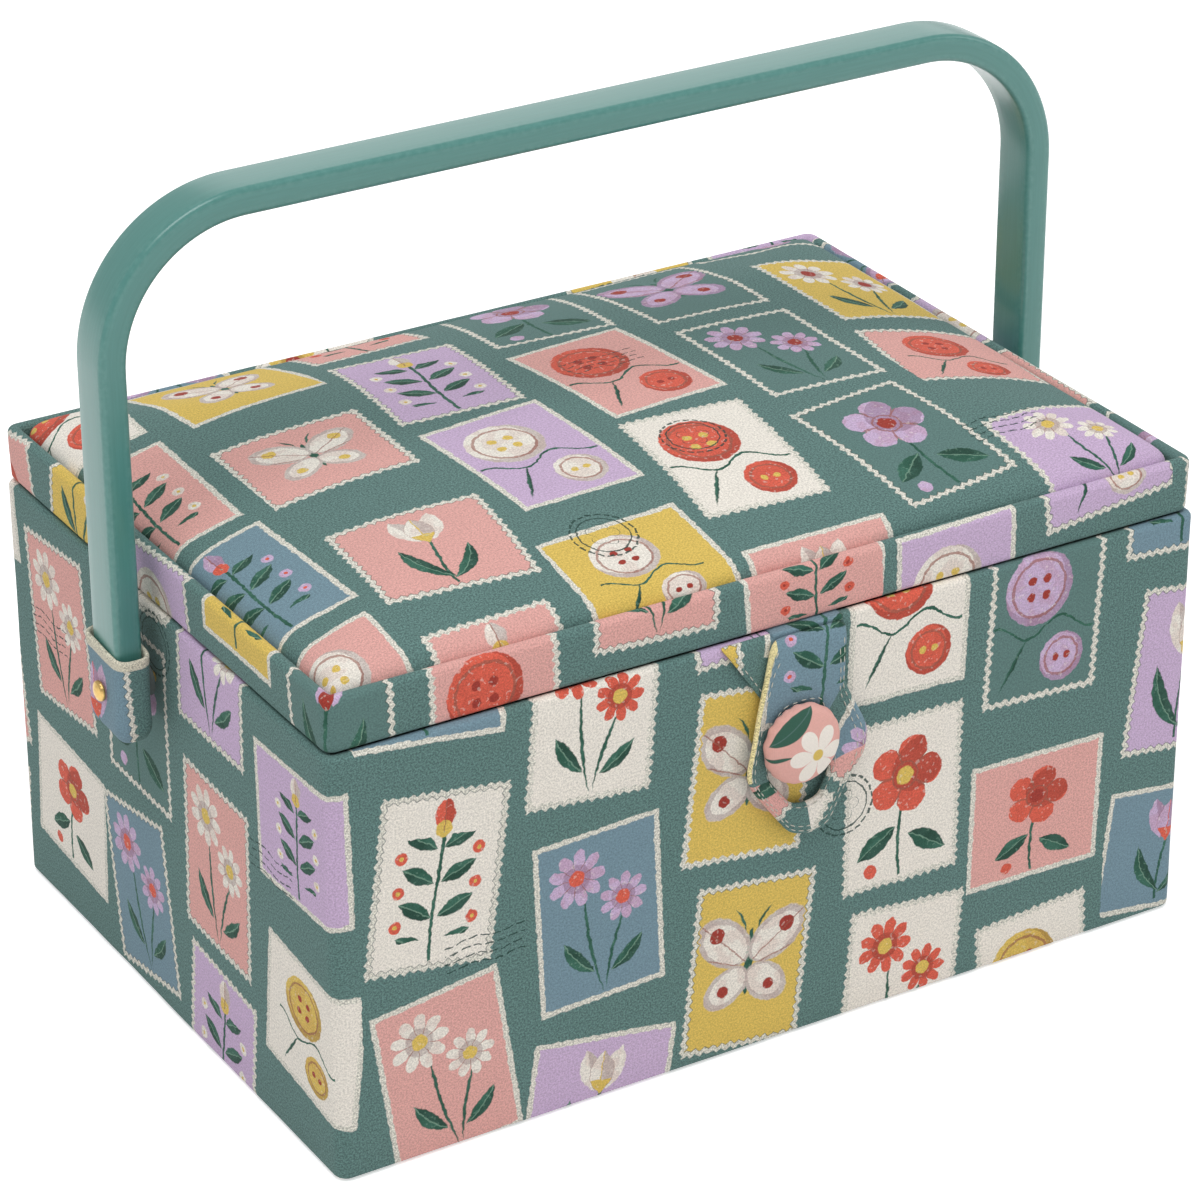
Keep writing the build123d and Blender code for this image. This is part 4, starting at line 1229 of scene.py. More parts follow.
class SEWINGBOX_OT_padded_top(bpy.types.Operator):
    """Puff the lid's padded top by cloth simulation and lay the printed cotton over it"""

    bl_idname = "sewingbox.padded_top"
    bl_label = "Padded top"

    def execute(self, context):
        size = context.scene.sewingbox_lid
        half_x = (TOP_HIGH.x - TOP_LOW.x) / 2
        half_y = (TOP_HIGH.y - TOP_LOW.y) / 2
        middle_y = (TOP_HIGH.y + TOP_LOW.y) / 2
        corner = 4.0 * MM
        seat = LID_BOARD_TOP
        across = grid_places(half_x, size.grid)
        along = grid_places(half_y, size.grid)
        points = []
        lifts = []
        for x in across:
            for y in along:
                near_x = half_x - abs(x)
                near_y = half_y - abs(y)
                flat_x, flat_y = x, y
                if near_x < corner and near_y < corner:
                    inward = Vector((corner - near_x, corner - near_y))
                    reach = max(inward.x, inward.y)
                    fitted = inward.normalized() * reach
                    flat_x = math.copysign(half_x - corner + fitted.x, x)
                    flat_y = math.copysign(half_y - corner + fitted.y, y)
                inset = 0.0
                if near_x > 1e-7 and near_y > 1e-7:
                    inset = (near_x ** -3 + near_y ** -3) ** (-1 / 3)
                rise = crown_height(inset, size.crown, size.reach) * 0.9
                points.append(Vector((flat_x, flat_y + middle_y, seat + rise)))
                lifts.append(inset)
        rows, columns = len(across), len(along)
        top_faces, _ = grid_faces(rows, columns)
        under = {}
        for row in range(rows):
            for column in range(columns):
                number = row * columns + column
                if 0 < row < rows - 1 and 0 < column < columns - 1:
                    under[number] = len(points)
                    points.append(Vector((points[number].x, points[number].y, seat)))
                else:
                    under[number] = number
        faces = list(top_faces)
        faces += [[under[number] for number in reversed(face)] for face in top_faces]
        pad = mesh_object("lid_padded_top", points, faces,
                          printed_cotton("lid", (8.0, 3.0), 2.0))
        held = {}
        for number in range(len(points)):
            if number >= len(lifts):
                held[number] = 1.0
            else:
                held[number] = clamped(1 - (lifts[number] - 1.0 * MM) / (5 * MM))
        puff(pad, size, {number: weight for number, weight in held.items() if weight > 0})
        top = max(vertex.co.z for vertex in pad.data.vertices)
        stretch = (TOP_HIGH.z - seat) / (top - seat)
        for vertex in pad.data.vertices:
            place = vertex.co
            place.z = seat + (place.z - seat) * stretch
            place.x = max(-half_x, min(half_x, place.x))
            place.y = max(middle_y - half_y, min(middle_y + half_y, place.y))
        crease = pad.data.attributes.new("crease_edge", "FLOAT", "EDGE")
        for edge in pad.data.edges:
            ends = [pad.data.vertices[number].co for number in edge.vertices]
            if all(end.z < seat + 0.05 * MM for end in ends) and all(
                    abs(end.x) > half_x - corner or abs(end.y - middle_y) > half_y - corner for end in ends):
                crease.data[edge.index].value = 1.0
        settle(rounder(pad))
        for vertex in pad.data.vertices:
            place = vertex.co
            if place.z > seat + 3 * MM:
                vertex.co.z += noise.noise(place * 34) * 0.35 * MM + noise.noise(place * 120) * 0.08 * MM
        runs_x, step = crown_runs(half_x, size.crown, size.reach)
        runs_y, step = crown_runs(half_y, size.crown, size.reach)
        layer = pad.data.uv_layers.new(name="cloth")
        for loop in pad.data.loops:
            place = pad.data.vertices[loop.vertex_index].co
            layer.data[loop.index].uv = (
                cloth_place(place.x, half_x, runs_x, step),
                cloth_place(place.y - middle_y, half_y, runs_y, step))
        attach(pad, "lid")
        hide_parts("lid_pad", "lid_top_cover")

        profile = [(12 * MM, TOP_LOW.z), (6 * MM, TOP_LOW.z)]
        profile += arc_points((0.5 * MM, TOP_LOW.z + 0.5 * MM), 0.5 * MM, -90, 0, 2)
        profile += [(0.0, seat - 0.1 * MM)]
        low = Vector((TOP_LOW.x, TOP_LOW.y, 0))
        high = Vector((TOP_HIGH.x, TOP_HIGH.y, 0))
        skirt, around, length = sweep_wall(
            "lid_top_turning", low, high, corner, profile,
            printed_cotton("turning", (8.0, 60.0), 2.0))
        settle(thicken(skirt, 0.45 * MM))
        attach(skirt, "lid")
        return {"FINISHED"}


class SEWINGBOX_OT_handle(bpy.types.Operator):
    """Bend the painted wooden handle"""

    bl_idname = "sewingbox.handle"
    bl_label = "Handle"

    def execute(self, context):
        size = context.scene.sewingbox_handle
        half_depth = (BAR_HIGH.y - BAR_LOW.y) / 2
        middle_y = (BAR_HIGH.y + BAR_LOW.y) / 2
        half_thick = ARM_THICKNESS / 2
        outer_x = BAR_HIGH.x
        path = []
        foot = BAR_LOW.z
        arm_x = outer_x - half_thick
        bend_z = BAR_HIGH.z - size.bend
        bend_x = outer_x - size.bend
        middle_radius = size.bend - half_thick
        arm_steps = 20
        bend_steps = 30
        span_steps = 24
        for step in range(arm_steps):
            path.append((Vector((arm_x, 0, foot + (bend_z - foot) * step / arm_steps)), 0.0))
        for step in range(bend_steps + 1):
            angle = math.radians(90 * step / bend_steps)
            centre = Vector((bend_x + middle_radius * math.cos(angle), 0,
                             bend_z + middle_radius * math.sin(angle)))
            path.append((centre, angle))
        half_path = path[:]
        for step in range(1, span_steps):
            x = bend_x * (1 - 2 * step / span_steps)
            path.append((Vector((x, 0, BAR_HIGH.z - half_thick)), math.radians(90)))
        for centre, angle in reversed(half_path):
            path.append((Vector((-centre.x, 0, centre.z)), math.pi - angle))
        section = []
        edge = size.edge
        for turn, (side_x, side_y) in enumerate(((1, 1), (-1, 1), (-1, -1), (1, -1))):
            for step in range(6):
                angle = math.radians(90 * (turn + step / 5))
                section.append((side_x * (half_thick - edge) + edge * math.cos(angle),
                                side_y * (half_depth - edge) + edge * math.sin(angle), 1.0))
            following = ((-1, 1), (-1, -1), (1, -1), (1, 1))[turn]
            for step in (1, 2, 3):
                share = step / 4
                start = section[-1] if step == 1 else section[-step]
                angle = math.radians(90 * (turn + 1))
                end_x = following[0] * (half_thick - edge) + edge * math.cos(angle)
                end_y = following[1] * (half_depth - edge) + edge * math.sin(angle)
                swell = 0.12 * MM * (1 - (2 * share - 1) ** 2)
                section.append((start[0] + (end_x - start[0]) * share + swell * math.cos(angle),
                                start[1] + (end_y - start[1]) * share + swell * math.sin(angle), 0.0))
        around = [0.0]
        loop = section + section[:1]
        for first, second in zip(loop, loop[1:]):
            around.append(around[-1] + math.dist(first[:2], second[:2]))
        points = []
        edges = []
        runs = [0.0]
        for number, (centre, angle) in enumerate(path):
            if number:
                runs.append(runs[-1] + (centre - path[number - 1][0]).length)
            outward = Vector((math.cos(angle), 0, math.sin(angle)))
            on_arm = number < arm_steps or number >= len(path) - arm_steps
            near_foot = min(centre.z - foot, 1.0) if on_arm else 1.0
            narrow = 1.0
            if near_foot < size.foot:
                lift = 1 - near_foot / size.foot
                narrow = (half_depth - size.foot * (1 - math.sqrt(max(0.0, 1 - lift ** 2)))) / half_depth
            for offset, depth, rim in section:
                place = centre + outward * offset
                points.append(Vector((place.x, middle_y + depth * narrow, place.z)))
                edges.append(rim)
        faces, corners = grid_faces(len(path), len(section), False, True)
        uvs = [(runs[row], around[column]) for row, column in corners]
        count = len(section)
        faces.append(list(reversed(range(count))))
        uvs += [(0.0, around[column]) for column in reversed(range(count))]
        last = (len(path) - 1) * count
        faces.append([last + column for column in range(count)])
        uvs += [(runs[-1], around[column]) for column in range(count)]
        bow = mesh_object("handle_bow", points, faces, "painted_wood", uvs, attributes={"edge": edges})
        turn_outwards(bow)
        bow.data.set_sharp_from_angle(angle=math.radians(40))
        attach(bow, "handle")
        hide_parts("handle_bar")
        return {"FINISHED"}


class SEWINGBOX_OT_sleeves(bpy.types.Operator):
    """Sew the cloth sleeves that hold the ends of the handle"""

    bl_idname = "sewingbox.sleeves"
    bl_label = "Handle sleeves"

    def execute(self, context):
        low, high = SLEEVE_LOW.copy(), SLEEVE_HIGH
        cloth_beside_arm = 1.5 * MM
        low.x = BAR_HIGH.x - ARM_THICKNESS - cloth_beside_arm
        corner = 4.0 * MM
        middle_x = (low.x + high.x) / 2
        middle_y = (low.y + high.y) / 2
        half_x = (high.x - low.x) / 2
        half_y = (high.y - low.y) / 2
        levels = 15
        for side, label, cut in ((1, "right", ((14.0, 18.0), 62.0)), (-1, "left", ((70.0, 18.0), 69.0))):
            stations, around = outline_stations(half_x, half_y, corner, 7, 2.4 * MM)
            points = []
            folds = []
            for station in stations:
                for level in range(levels + 1):
                    share = level / levels
                    folds.append(clamped((share - 0.84) * 12))
                    height = low.z + (high.z - low.z) * share
                    tuck = 1.9 * MM * max(0.0, 1 - share * 6) ** 2
                    waist = 0.35 * MM * math.sin(math.pi * share)
                    x, y = at_inset(station, half_x, half_y, corner, tuck + waist)
                    mouth = max(0.0, share - 0.72) / 0.28
                    lift = mouth * 1.0 * MM * math.sin(y / half_y * 1.6 + 0.4)
                    place = Vector((x, y, height + lift))
                    rumple = noise.noise(Vector((place.x * 90 + 3 * side, place.y * 120, place.z * 110)))
                    outward = Vector((station[2][0], station[2][1], 0))
                    amount = 0.45 * MM if station[2][0] > -0.5 else 0.0
                    place += outward * rumple * amount
                    points.append(Vector((side * (middle_x + place.x), middle_y + place.y, place.z)))
            faces, corners = grid_faces(len(stations), levels + 1, True, False)
            if side < 0:
                faces = [list(reversed(face)) for face in faces]
            uvs = []
            groups = [corners[start:start + 4] for start in range(0, len(corners), 4)]
            for group in groups:
                ordered = reversed(group) if side < 0 else group
                for row, column in ordered:
                    across = stations[row][3] if row < len(stations) else around
                    uvs.append((across * side, (high.z - low.z) * column / levels))
            sleeve = mesh_object(f"sleeve_{label}", points, faces,
                                 printed_cotton(f"sleeve_{label}", *cut), uvs,
                                 attributes={"fold": folds})
            settle(rounder(thicken(sleeve, 1.2 * MM)))
            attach(sleeve, "handle")
            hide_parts(f"strap_{label}")
        return {"FINISHED"}


def loop_outline(spacing):
    """The band's outer outline and its slot's outline, as matching points (x, z)."""
    low, high = LOOP_LOW, LOOP_HIGH
    middle = (low.x + high.x) / 2
    tip = (5.4 * MM, low.z)
    rim = (4.8 * MM, high.z)
    # From the rim down the left leg, round the point and up the right leg
    outer = [rim, (-6.8 * MM, high.z), (-10.4 * MM, low.z + 43.5 * MM), (-15.2 * MM, low.z + 25.5 * MM),
             (-15.0 * MM, low.z + 20.5 * MM), (-0.8 * MM, low.z + 1.6 * MM), tip,
             (10.9 * MM, low.z + 0.8 * MM), (21.9 * MM, low.z + 23.5 * MM), (22.2 * MM, low.z + 28.0 * MM),
             (15.2 * MM, low.z + 43.5 * MM), (16.4 * MM, high.z), rim]
    slot_top = low.z + 38.0 * MM
    slot_low = low.z + 10.5 * MM
    eye = (1.5 * MM, slot_top)
    # From the eye down the slot's left side, round its foot and up its right side
    inner = [eye, (-3.8 * MM, slot_top - 1.2 * MM), (-7.5 * MM, slot_top - 6 * MM),
             (-7.6 * MM, slot_low + 13 * MM), (-7.2 * MM, slot_low + 9 * MM), (-1.0 * MM, slot_low + 1 * MM),
             (3.5 * MM, slot_low), (7.5 * MM, slot_low + 1 * MM), (10.8 * MM, slot_low + 9 * MM),
             (10.6 * MM, slot_low + 13 * MM), (8.6 * MM, slot_top - 5 * MM), (5.8 * MM, slot_top - 1.2 * MM),
             eye]
    outside = []
    inside = []
    parts = []
    for number in range(len(outer) - 1):
        steps = max(2, round(math.dist(outer[number], outer[number + 1]) / spacing))
        for step in range(steps):
            share = step / steps
            outside.append(Vector(outer[number]).lerp(Vector(outer[number + 1]), share))
            inside.append(Vector(inner[number]).lerp(Vector(inner[number + 1]), share))
            parts.append(number)
    return middle, outside, inside, parts


def softened(points, rounds):
    """Round off a closed line of points by averaging each with its neighbours."""
    for _ in range(rounds):
        points = [(points[i - 1] + points[i] * 2 + points[(i + 1) % len(points)]) / 4
                  for i in range(len(points))]
    return points


class SEWINGBOX_OT_loop(bpy.types.Operator):
    """Fold and stitch the closure loop that hangs from the lid's front"""

    bl_idname = "sewingbox.loop"
    bl_label = "Closure loop"

    @staticmethod
    def fold_height(place):
        """Height of the mitred fold where the legs turn in to the point."""
        return 84.0 * MM - (17.8 * MM - abs(place.x)) * 0.25

    @staticmethod
    def cut(part, place):
        """Cloth coordinates of a place; the strap turns at its mitres, so the print turns too."""
        if part in (4, 5):
            turn, shift = math.radians(-38), (0.024, 0.011)
        elif part in (6, 7):
            turn, shift = math.radians(38), (-0.031, 0.017)
        elif part in (8, 9):
            turn, shift = math.radians(24), (0.017, -0.013)
        else:
            return place
        x, y = place
        return (x * math.cos(turn) - y * math.sin(turn) + shift[0],
                x * math.sin(turn) + y * math.cos(turn) + shift[1])

    @staticmethod
    def tail(built, middle, back):
        """The strap's other leg, which splays out to the left behind the band; returns its left edge."""
        rows, columns = 14, 9
        high_left, high_right = Vector((-21.3 * MM, SEAM_Z)), Vector((2.0 * MM, SEAM_Z))
        low_left, low_right = Vector((-8.0 * MM, 102.0 * MM)), Vector((3.0 * MM, 108.0 * MM))
        grid = []
        for row in range(rows + 1):
            fall = row / rows
            left = high_left.lerp(low_left, fall)
            right = high_right.lerp(low_right, fall)
            line = []
            for column in range(columns + 1):
                place = left.lerp(right, column / columns)
                clear = clamped((-7.5 * MM - place.x) / (6 * MM))
                tucked = clamped((place.y - 119.4 * MM) / (1.9 * MM))
                bulge = 0.9 * MM * clear * (1 - tucked) * math.sin(math.pi * (0.12 + 0.8 * fall)) ** 0.5
                y = back - 0.05 * MM - bulge + 0.9 * MM * tucked ** 2
                line.append(built.verts.new((middle + place.x, y, place.y)))
            grid.append(line)
        lay_rows(built, grid)
        return [line[0].co.copy() for line in grid]

    def execute(self, context):
        size = context.scene.sewingbox_loop
        middle, outside, inside, parts = loop_outline(1.8 * MM)
        outside = softened(outside, 2)
        inside = softened(inside, 3)
        back = LOOP_HIGH.y
        front = LOOP_LOW.y
        half = (back - front) / 2
        centre = (back + front) / 2
        across = 8
        points = []
        flat = []
        folds = []

        under_leg = Vector((8.6 * MM, 94.0 * MM))
        crossing = (Vector((15.2 * MM, 104.5 * MM)) - under_leg).normalized()

        def forward(place):
            beyond = clamped((abs(place.x - 3.5 * MM) - 9 * MM) / (8 * MM))
            side = 2.0 * MM * beyond ** 1.3 * math.exp(-((place.y - 88 * MM) / (15 * MM)) ** 2)
            below = clamped((self.fold_height(place) - place.y) / (1.8 * MM))
            lower = crossing.y * (place.x - under_leg.x) - crossing.x * (place.y - under_leg.y)
            over = 1 - clamped(0.5 + lower / (1.0 * MM))
            near = math.exp(-((place.x - 4 * MM) / (13 * MM)) ** 2 - ((place.y - 105 * MM) / (11 * MM)) ** 2)
            return side + 0.7 * MM * below * below * (3 - 2 * below) + 1.1 * MM * over * near

        def laid(place, depth):
            near_top = max(0.0, (place.y - LOOP_HIGH.z + 5 * MM) / (5 * MM))
            kept = half - (half - depth) * (1 - 0.7 * near_top ** 2)
            if depth < 0:
                from_fold = place.y - self.fold_height(place) - 4.5 * MM
                kept += 0.35 * MM * math.exp(-(from_fold / (3.5 * MM)) ** 2)
            return Vector((middle + place.x, centre + kept - forward(place), place.y + 0.6 * MM * near_top))

        for number, (outer_point, inner_point) in enumerate(zip(outside, inside)):
            section = []
            for step in range(across + 1):
                share = step / across
                place = outer_point.lerp(inner_point, share)
                edge = min(share, 1 - share) * 2
                bulge = half * min(1.0, (1 - (1 - edge) ** 6)) ** 0.5
                section.append((place, bulge, share))
            ring = [(place, -bulge, share) for place, bulge, share in section]
            ring += [(place, bulge, share) for place, bulge, share in reversed(section[1:-1])]
            for place, depth, share in ring:
                hem = 0.28 * MM * math.exp(-((min(share, 1 - share) - 0.10) / 0.06) ** 2)
                wave = noise.noise(Vector((place.x * 60, 0, place.y * 60))) * 0.35 * MM
                depth_here = depth - hem if depth < 0 else depth
                points.append(laid(place, depth_here) - Vector((0, abs(wave), 0)))
                flat.append((place.x, place.y))
                shown = 1.0 if share < 0.01 else 0.66 if share < 0.13 else 0.0
                folds.append(shown if parts[number] in (1, 2, 3) else 0.0)
        ring_size = 2 * across
        faces, corners = grid_faces(len(outside), ring_size, True, True)
        uvs = []
        for start in range(0, len(corners), 4):
            part = parts[corners[start][0] % len(parts)]
            for row, column in corners[start:start + 4]:
                uvs.append(self.cut(part, flat[(row % len(outside)) * ring_size + column % ring_size]))
        band = mesh_object("loop_band", points, faces,
                           printed_cotton("loop", (12.0, -98.0), 36.0,
                                          fold_colour=srgb(226, 213, 160)), uvs,
                           attributes={"fold": folds})
        built = bmesh.new()
        built.from_mesh(band.data)
        sewn = set(built.faces)
        strip = []
        half_width = (TAB_HIGH.x - TAB_LOW.x) / 2
        tab_z = (TAB_LOW.z + TAB_HIGH.z) / 2
        line = [(TAB_HIGH.y, tab_z), (TAB_LOW.y + 3 * MM, tab_z), (TAB_LOW.y, tab_z),
                (back + 0.2 * MM, tab_z - 0.1 * MM), (back - 0.05 * MM, tab_z - 0.6 * MM),
                (back - 0.05 * MM, tab_z - 2.4 * MM)]
        seat_x = middle + 4.8 * MM
        for y, z in line:
            places = [seat_x + half_width * share for share in (-1, -0.5, 0, 0.5, 1)]
            strip.append([built.verts.new((x, y, z)) for x in places])
        lay_rows(built, strip)
        sew_on(built, sewn, 0.5 * MM,
               lambda place: (place.x - middle, place.z + max(0.0, place.y - centre)))
        sewn = set(built.faces)
        tail_edge = self.tail(built, middle, back)
        sew_on(built, sewn, 0.4 * MM, lambda place: (place.x - middle - 2.6 * MM, place.z - 19.0 * MM))
        bmesh.ops.recalc_face_normals(built, faces=built.faces[:])
        built.to_mesh(band.data)
        built.free()
        settle(rounder(band))
        under_rim_y = -91.8 * MM
        start = (middle, under_rim_y, TAB_HIGH.z + 0.6 * MM)
        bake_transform(band)
        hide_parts("closure_loop", "loop_tab")

        runs = []
        for share, round_eye in ((0.17, False), (0.30, False), (0.86, True)):
            line = []
            for outer_point, inner_point, part in zip(outside, inside, parts):
                if round_eye or part not in (0, 11):
                    place = outer_point.lerp(inner_point, share)
                    line.append(laid(place, -half - 0.16 * MM))
            runs.append((line, round_eye))
        seam = [point + Vector((1.4 * MM, -0.12 * MM, 0.4 * MM)) for point in tail_edge[3:]]
        runs.append((seam, False))
        stitches = run_stitches("loop_stitches", runs, size)
        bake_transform(stitches)
        return {"FINISHED"}


def stitch_tree():
    """Geometry nodes that lay stitches along every edge line of a mesh."""
    found = bpy.data.node_groups.get("Running stitches")
    if found:
        return found
    tree = bpy.data.node_groups.new("Running stitches", "GeometryNodeTree")
    face = tree.interface
    face.new_socket("Geometry", in_out="INPUT", socket_type="NodeSocketGeometry")
    for label, default in (("Stitch Length", 2.2 * MM), ("Gap", 1.0 * MM), ("Thread", 0.35 * MM)):
        socket = face.new_socket(label, in_out="INPUT", socket_type="NodeSocketFloat")
        socket.default_value = default
    face.new_socket("Seed", in_out="INPUT", socket_type="NodeSocketInt")
    face.new_socket("Finish", in_out="INPUT", socket_type="NodeSocketMaterial")
    face.new_socket("Geometry", in_out="OUTPUT", socket_type="NodeSocketGeometry")
    entry = add_node(tree, "NodeGroupInput")
    curve = add_node(tree, "GeometryNodeMeshToCurve", ("Mesh", entry["Geometry"]))
    pitch = add_node(tree, "ShaderNodeMath", (0, entry["Stitch Length"]), (1, entry["Gap"]))
    spaced = add_node(tree, "GeometryNodeResampleCurve", ("Curve", curve[0]), ("Length", pitch[0]),
                      mode="LENGTH")
    ball = add_node(tree, "GeometryNodeMeshUVSphere", ("Segments", 6), ("Rings", 5), ("Radius", 0.5))
    tangent = add_node(tree, "GeometryNodeInputTangent")
    align = add_node(tree, "FunctionNodeAlignRotationToVector", ("Vector", tangent[0]), axis="X")
    # Counted from 0, inputs 2 and 3 and output 1 are the ones for plain numbers.
    wobble = add_node(tree, "FunctionNodeRandomValue", (2, 0.88), (3, 1.08), ("Seed", entry["Seed"]),
                      data_type="FLOAT")
    length = add_node(tree, "ShaderNodeMath", (0, entry["Stitch Length"]), (1, wobble[1]),
                      operation="MULTIPLY")
    scale = add_node(tree, "ShaderNodeCombineXYZ", (0, length[0]), (1, entry["Thread"]),
                     (2, entry["Thread"]))
    place = add_node(tree, "GeometryNodeInstanceOnPoints", ("Points", spaced[0]),
                     ("Instance", ball["Mesh"]), ("Rotation", align[0]), ("Scale", scale[0]))
    real = add_node(tree, "GeometryNodeRealizeInstances", (0, place[0]))
    finish = add_node(tree, "GeometryNodeSetMaterial", ("Geometry", real[0]),
                      ("Material", entry["Finish"]))
    add_node(tree, "NodeGroupOutput", (0, finish[0]))
    return tree


def run_stitches(name, runs, sewing, seed=3):
    """Stitches along lines of points; each run is (points, whether it is closed)."""
    points = []
    edges = []
    for line, closed in runs:
        first = len(points)
        points.extend(tuple(point) for point in line)
        edges.extend((first + i, first + i + 1) for i in range(len(line) - 1))
        if closed:
            edges.append((first + len(line) - 1, first))
    mesh = bpy.data.meshes.new(name)
    mesh.from_pydata(points, edges, [])
    piece = bpy.data.objects.new(name, mesh)
    bpy.context.scene.collection.objects.link(piece)
    tree = stitch_tree()
    modifier = piece.modifiers.new("stitches", "NODES")
    modifier.node_group = tree
    keys = {item.name: item.identifier for item in tree.interface.items_tree if item.in_out == "INPUT"}
    modifier[keys["Stitch Length"]] = sewing.stitch
    modifier[keys["Gap"]] = sewing.gap
    modifier[keys["Thread"]] = sewing.thread
    modifier[keys["Seed"]] = seed
    modifier[keys["Finish"]] = FINISHES["thread"]
    return settle(piece)


class SEWINGBOX_OT_button(bpy.types.Operator):
    """Cover the front's dome button in printed cotton"""

    bl_idname = "sewingbox.button"
    bl_label = "Covered button"

    def execute(self, context):
        low, high = BUTTON_LOW, BUTTON_HIGH
        centre = (low + high) / 2
        radius = (high.x - low.x) / 2
        depth = high.y - low.y
        sectors = 96
        profile = [(radius - 2.8 * MM, 0.25 * MM), (radius - 1.2 * MM, 0.02 * MM),
                   (radius - 0.35 * MM, 0.1 * MM), (radius, 0.9 * MM), (radius, 1.7 * MM)]
        shoulder = 2.6 * MM
        for step in range(1, 6):
            angle = math.radians(68 * step / 5)
            profile.append((radius - shoulder * (1 - math.cos(angle)), 1.7 * MM + shoulder * math.sin(angle)))
        edge_radius, edge_height = profile[-1]
        for share in (0.88, 0.74, 0.58, 0.42, 0.26, 0.1):
            rise = (depth - edge_height) * (1 - share ** 2)
            profile.append((edge_radius * share, edge_height + rise))
        points = []
        flat = []
        run = 0.0
        for number, (ring, height) in enumerate(profile):
            for sector in range(sectors):
                angle = math.tau * sector / sectors
                pucker = 0.0
                if height < 4.2 * MM:
                    fade = 1 - height / (4.2 * MM)
                    pucker = 0.22 * MM * fade * math.sin(angle * 17 + math.sin(angle * 3) * 2)
                reach = ring + pucker
                points.append(Vector((centre.x + reach * math.cos(angle), high.y - height,
                                      centre.z + reach * math.sin(angle))))
                spread = ring if height > 3 * MM or ring < radius * 0.7 else radius + (3 * MM - height)
                flat.append((spread * math.cos(angle), spread * math.sin(angle)))
        points.append(Vector((centre.x, high.y - depth, centre.z)))
        flat.append((0.0, 0.0))
        faces, corners = grid_faces(len(profile), sectors, False, True)
        indices = [row * sectors + column % sectors for row, column in corners]
        last = (len(profile) - 1) * sectors
        for sector in range(sectors):
            face = [last + sector, len(points) - 1, last + (sector + 1) % sectors]
            faces.append(face)
            indices.extend(face)
        cover = mesh_object("button_cover", points, faces, "button_cotton", [flat[i] for i in indices])
        turn_outwards(cover)
        settle(thicken(cover, 0.3 * MM))
        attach(cover, "box")
        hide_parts("button_cloth")
        return {"FINISHED"}


class SEWINGBOX_OT_hinge(bpy.types.Operator):
    """Lay the cloth hinge that joins the lid to the back of the case"""

    bl_idname = "sewingbox.hinge"
    bl_label = "Cloth hinge"

    def execute(self, context):
        low, high = HINGE_LOW, HINGE_HIGH
        columns = 60
        rows = 26
        points = []
        for row in range(rows + 1):
            z = low.z + (high.z - low.z) * row / rows
            for column in range(columns + 1):
                x = high.x - (high.x - low.x) * column / columns
                crease = math.exp(-((z - SEAM_Z) / (1.2 * MM)) ** 2) * 0.35 * MM
                ripple = noise.noise(Vector((x * 60, 0, z * 60))) * 0.1 * MM
                points.append(Vector((x, high.y - crease + ripple, z)))
        faces, corners = grid_faces(rows + 1, columns + 1)
        faces = [list(reversed(face)) for face in faces]
        uvs = []
        for start in range(0, len(corners), 4):
            for row, column in reversed(corners[start:start + 4]):
                uvs.append(((high.x - low.x) * column / columns, (high.z - low.z) * row / rows))
        strip = mesh_object("hinge_strip", points, faces,
                            printed_cotton("hinge", (200.0, 90.0), 15.0), uvs)
        settle(thicken(strip, 0.45 * MM))
        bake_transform(strip)
        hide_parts("hinge_cloth")
        return {"FINISHED"}


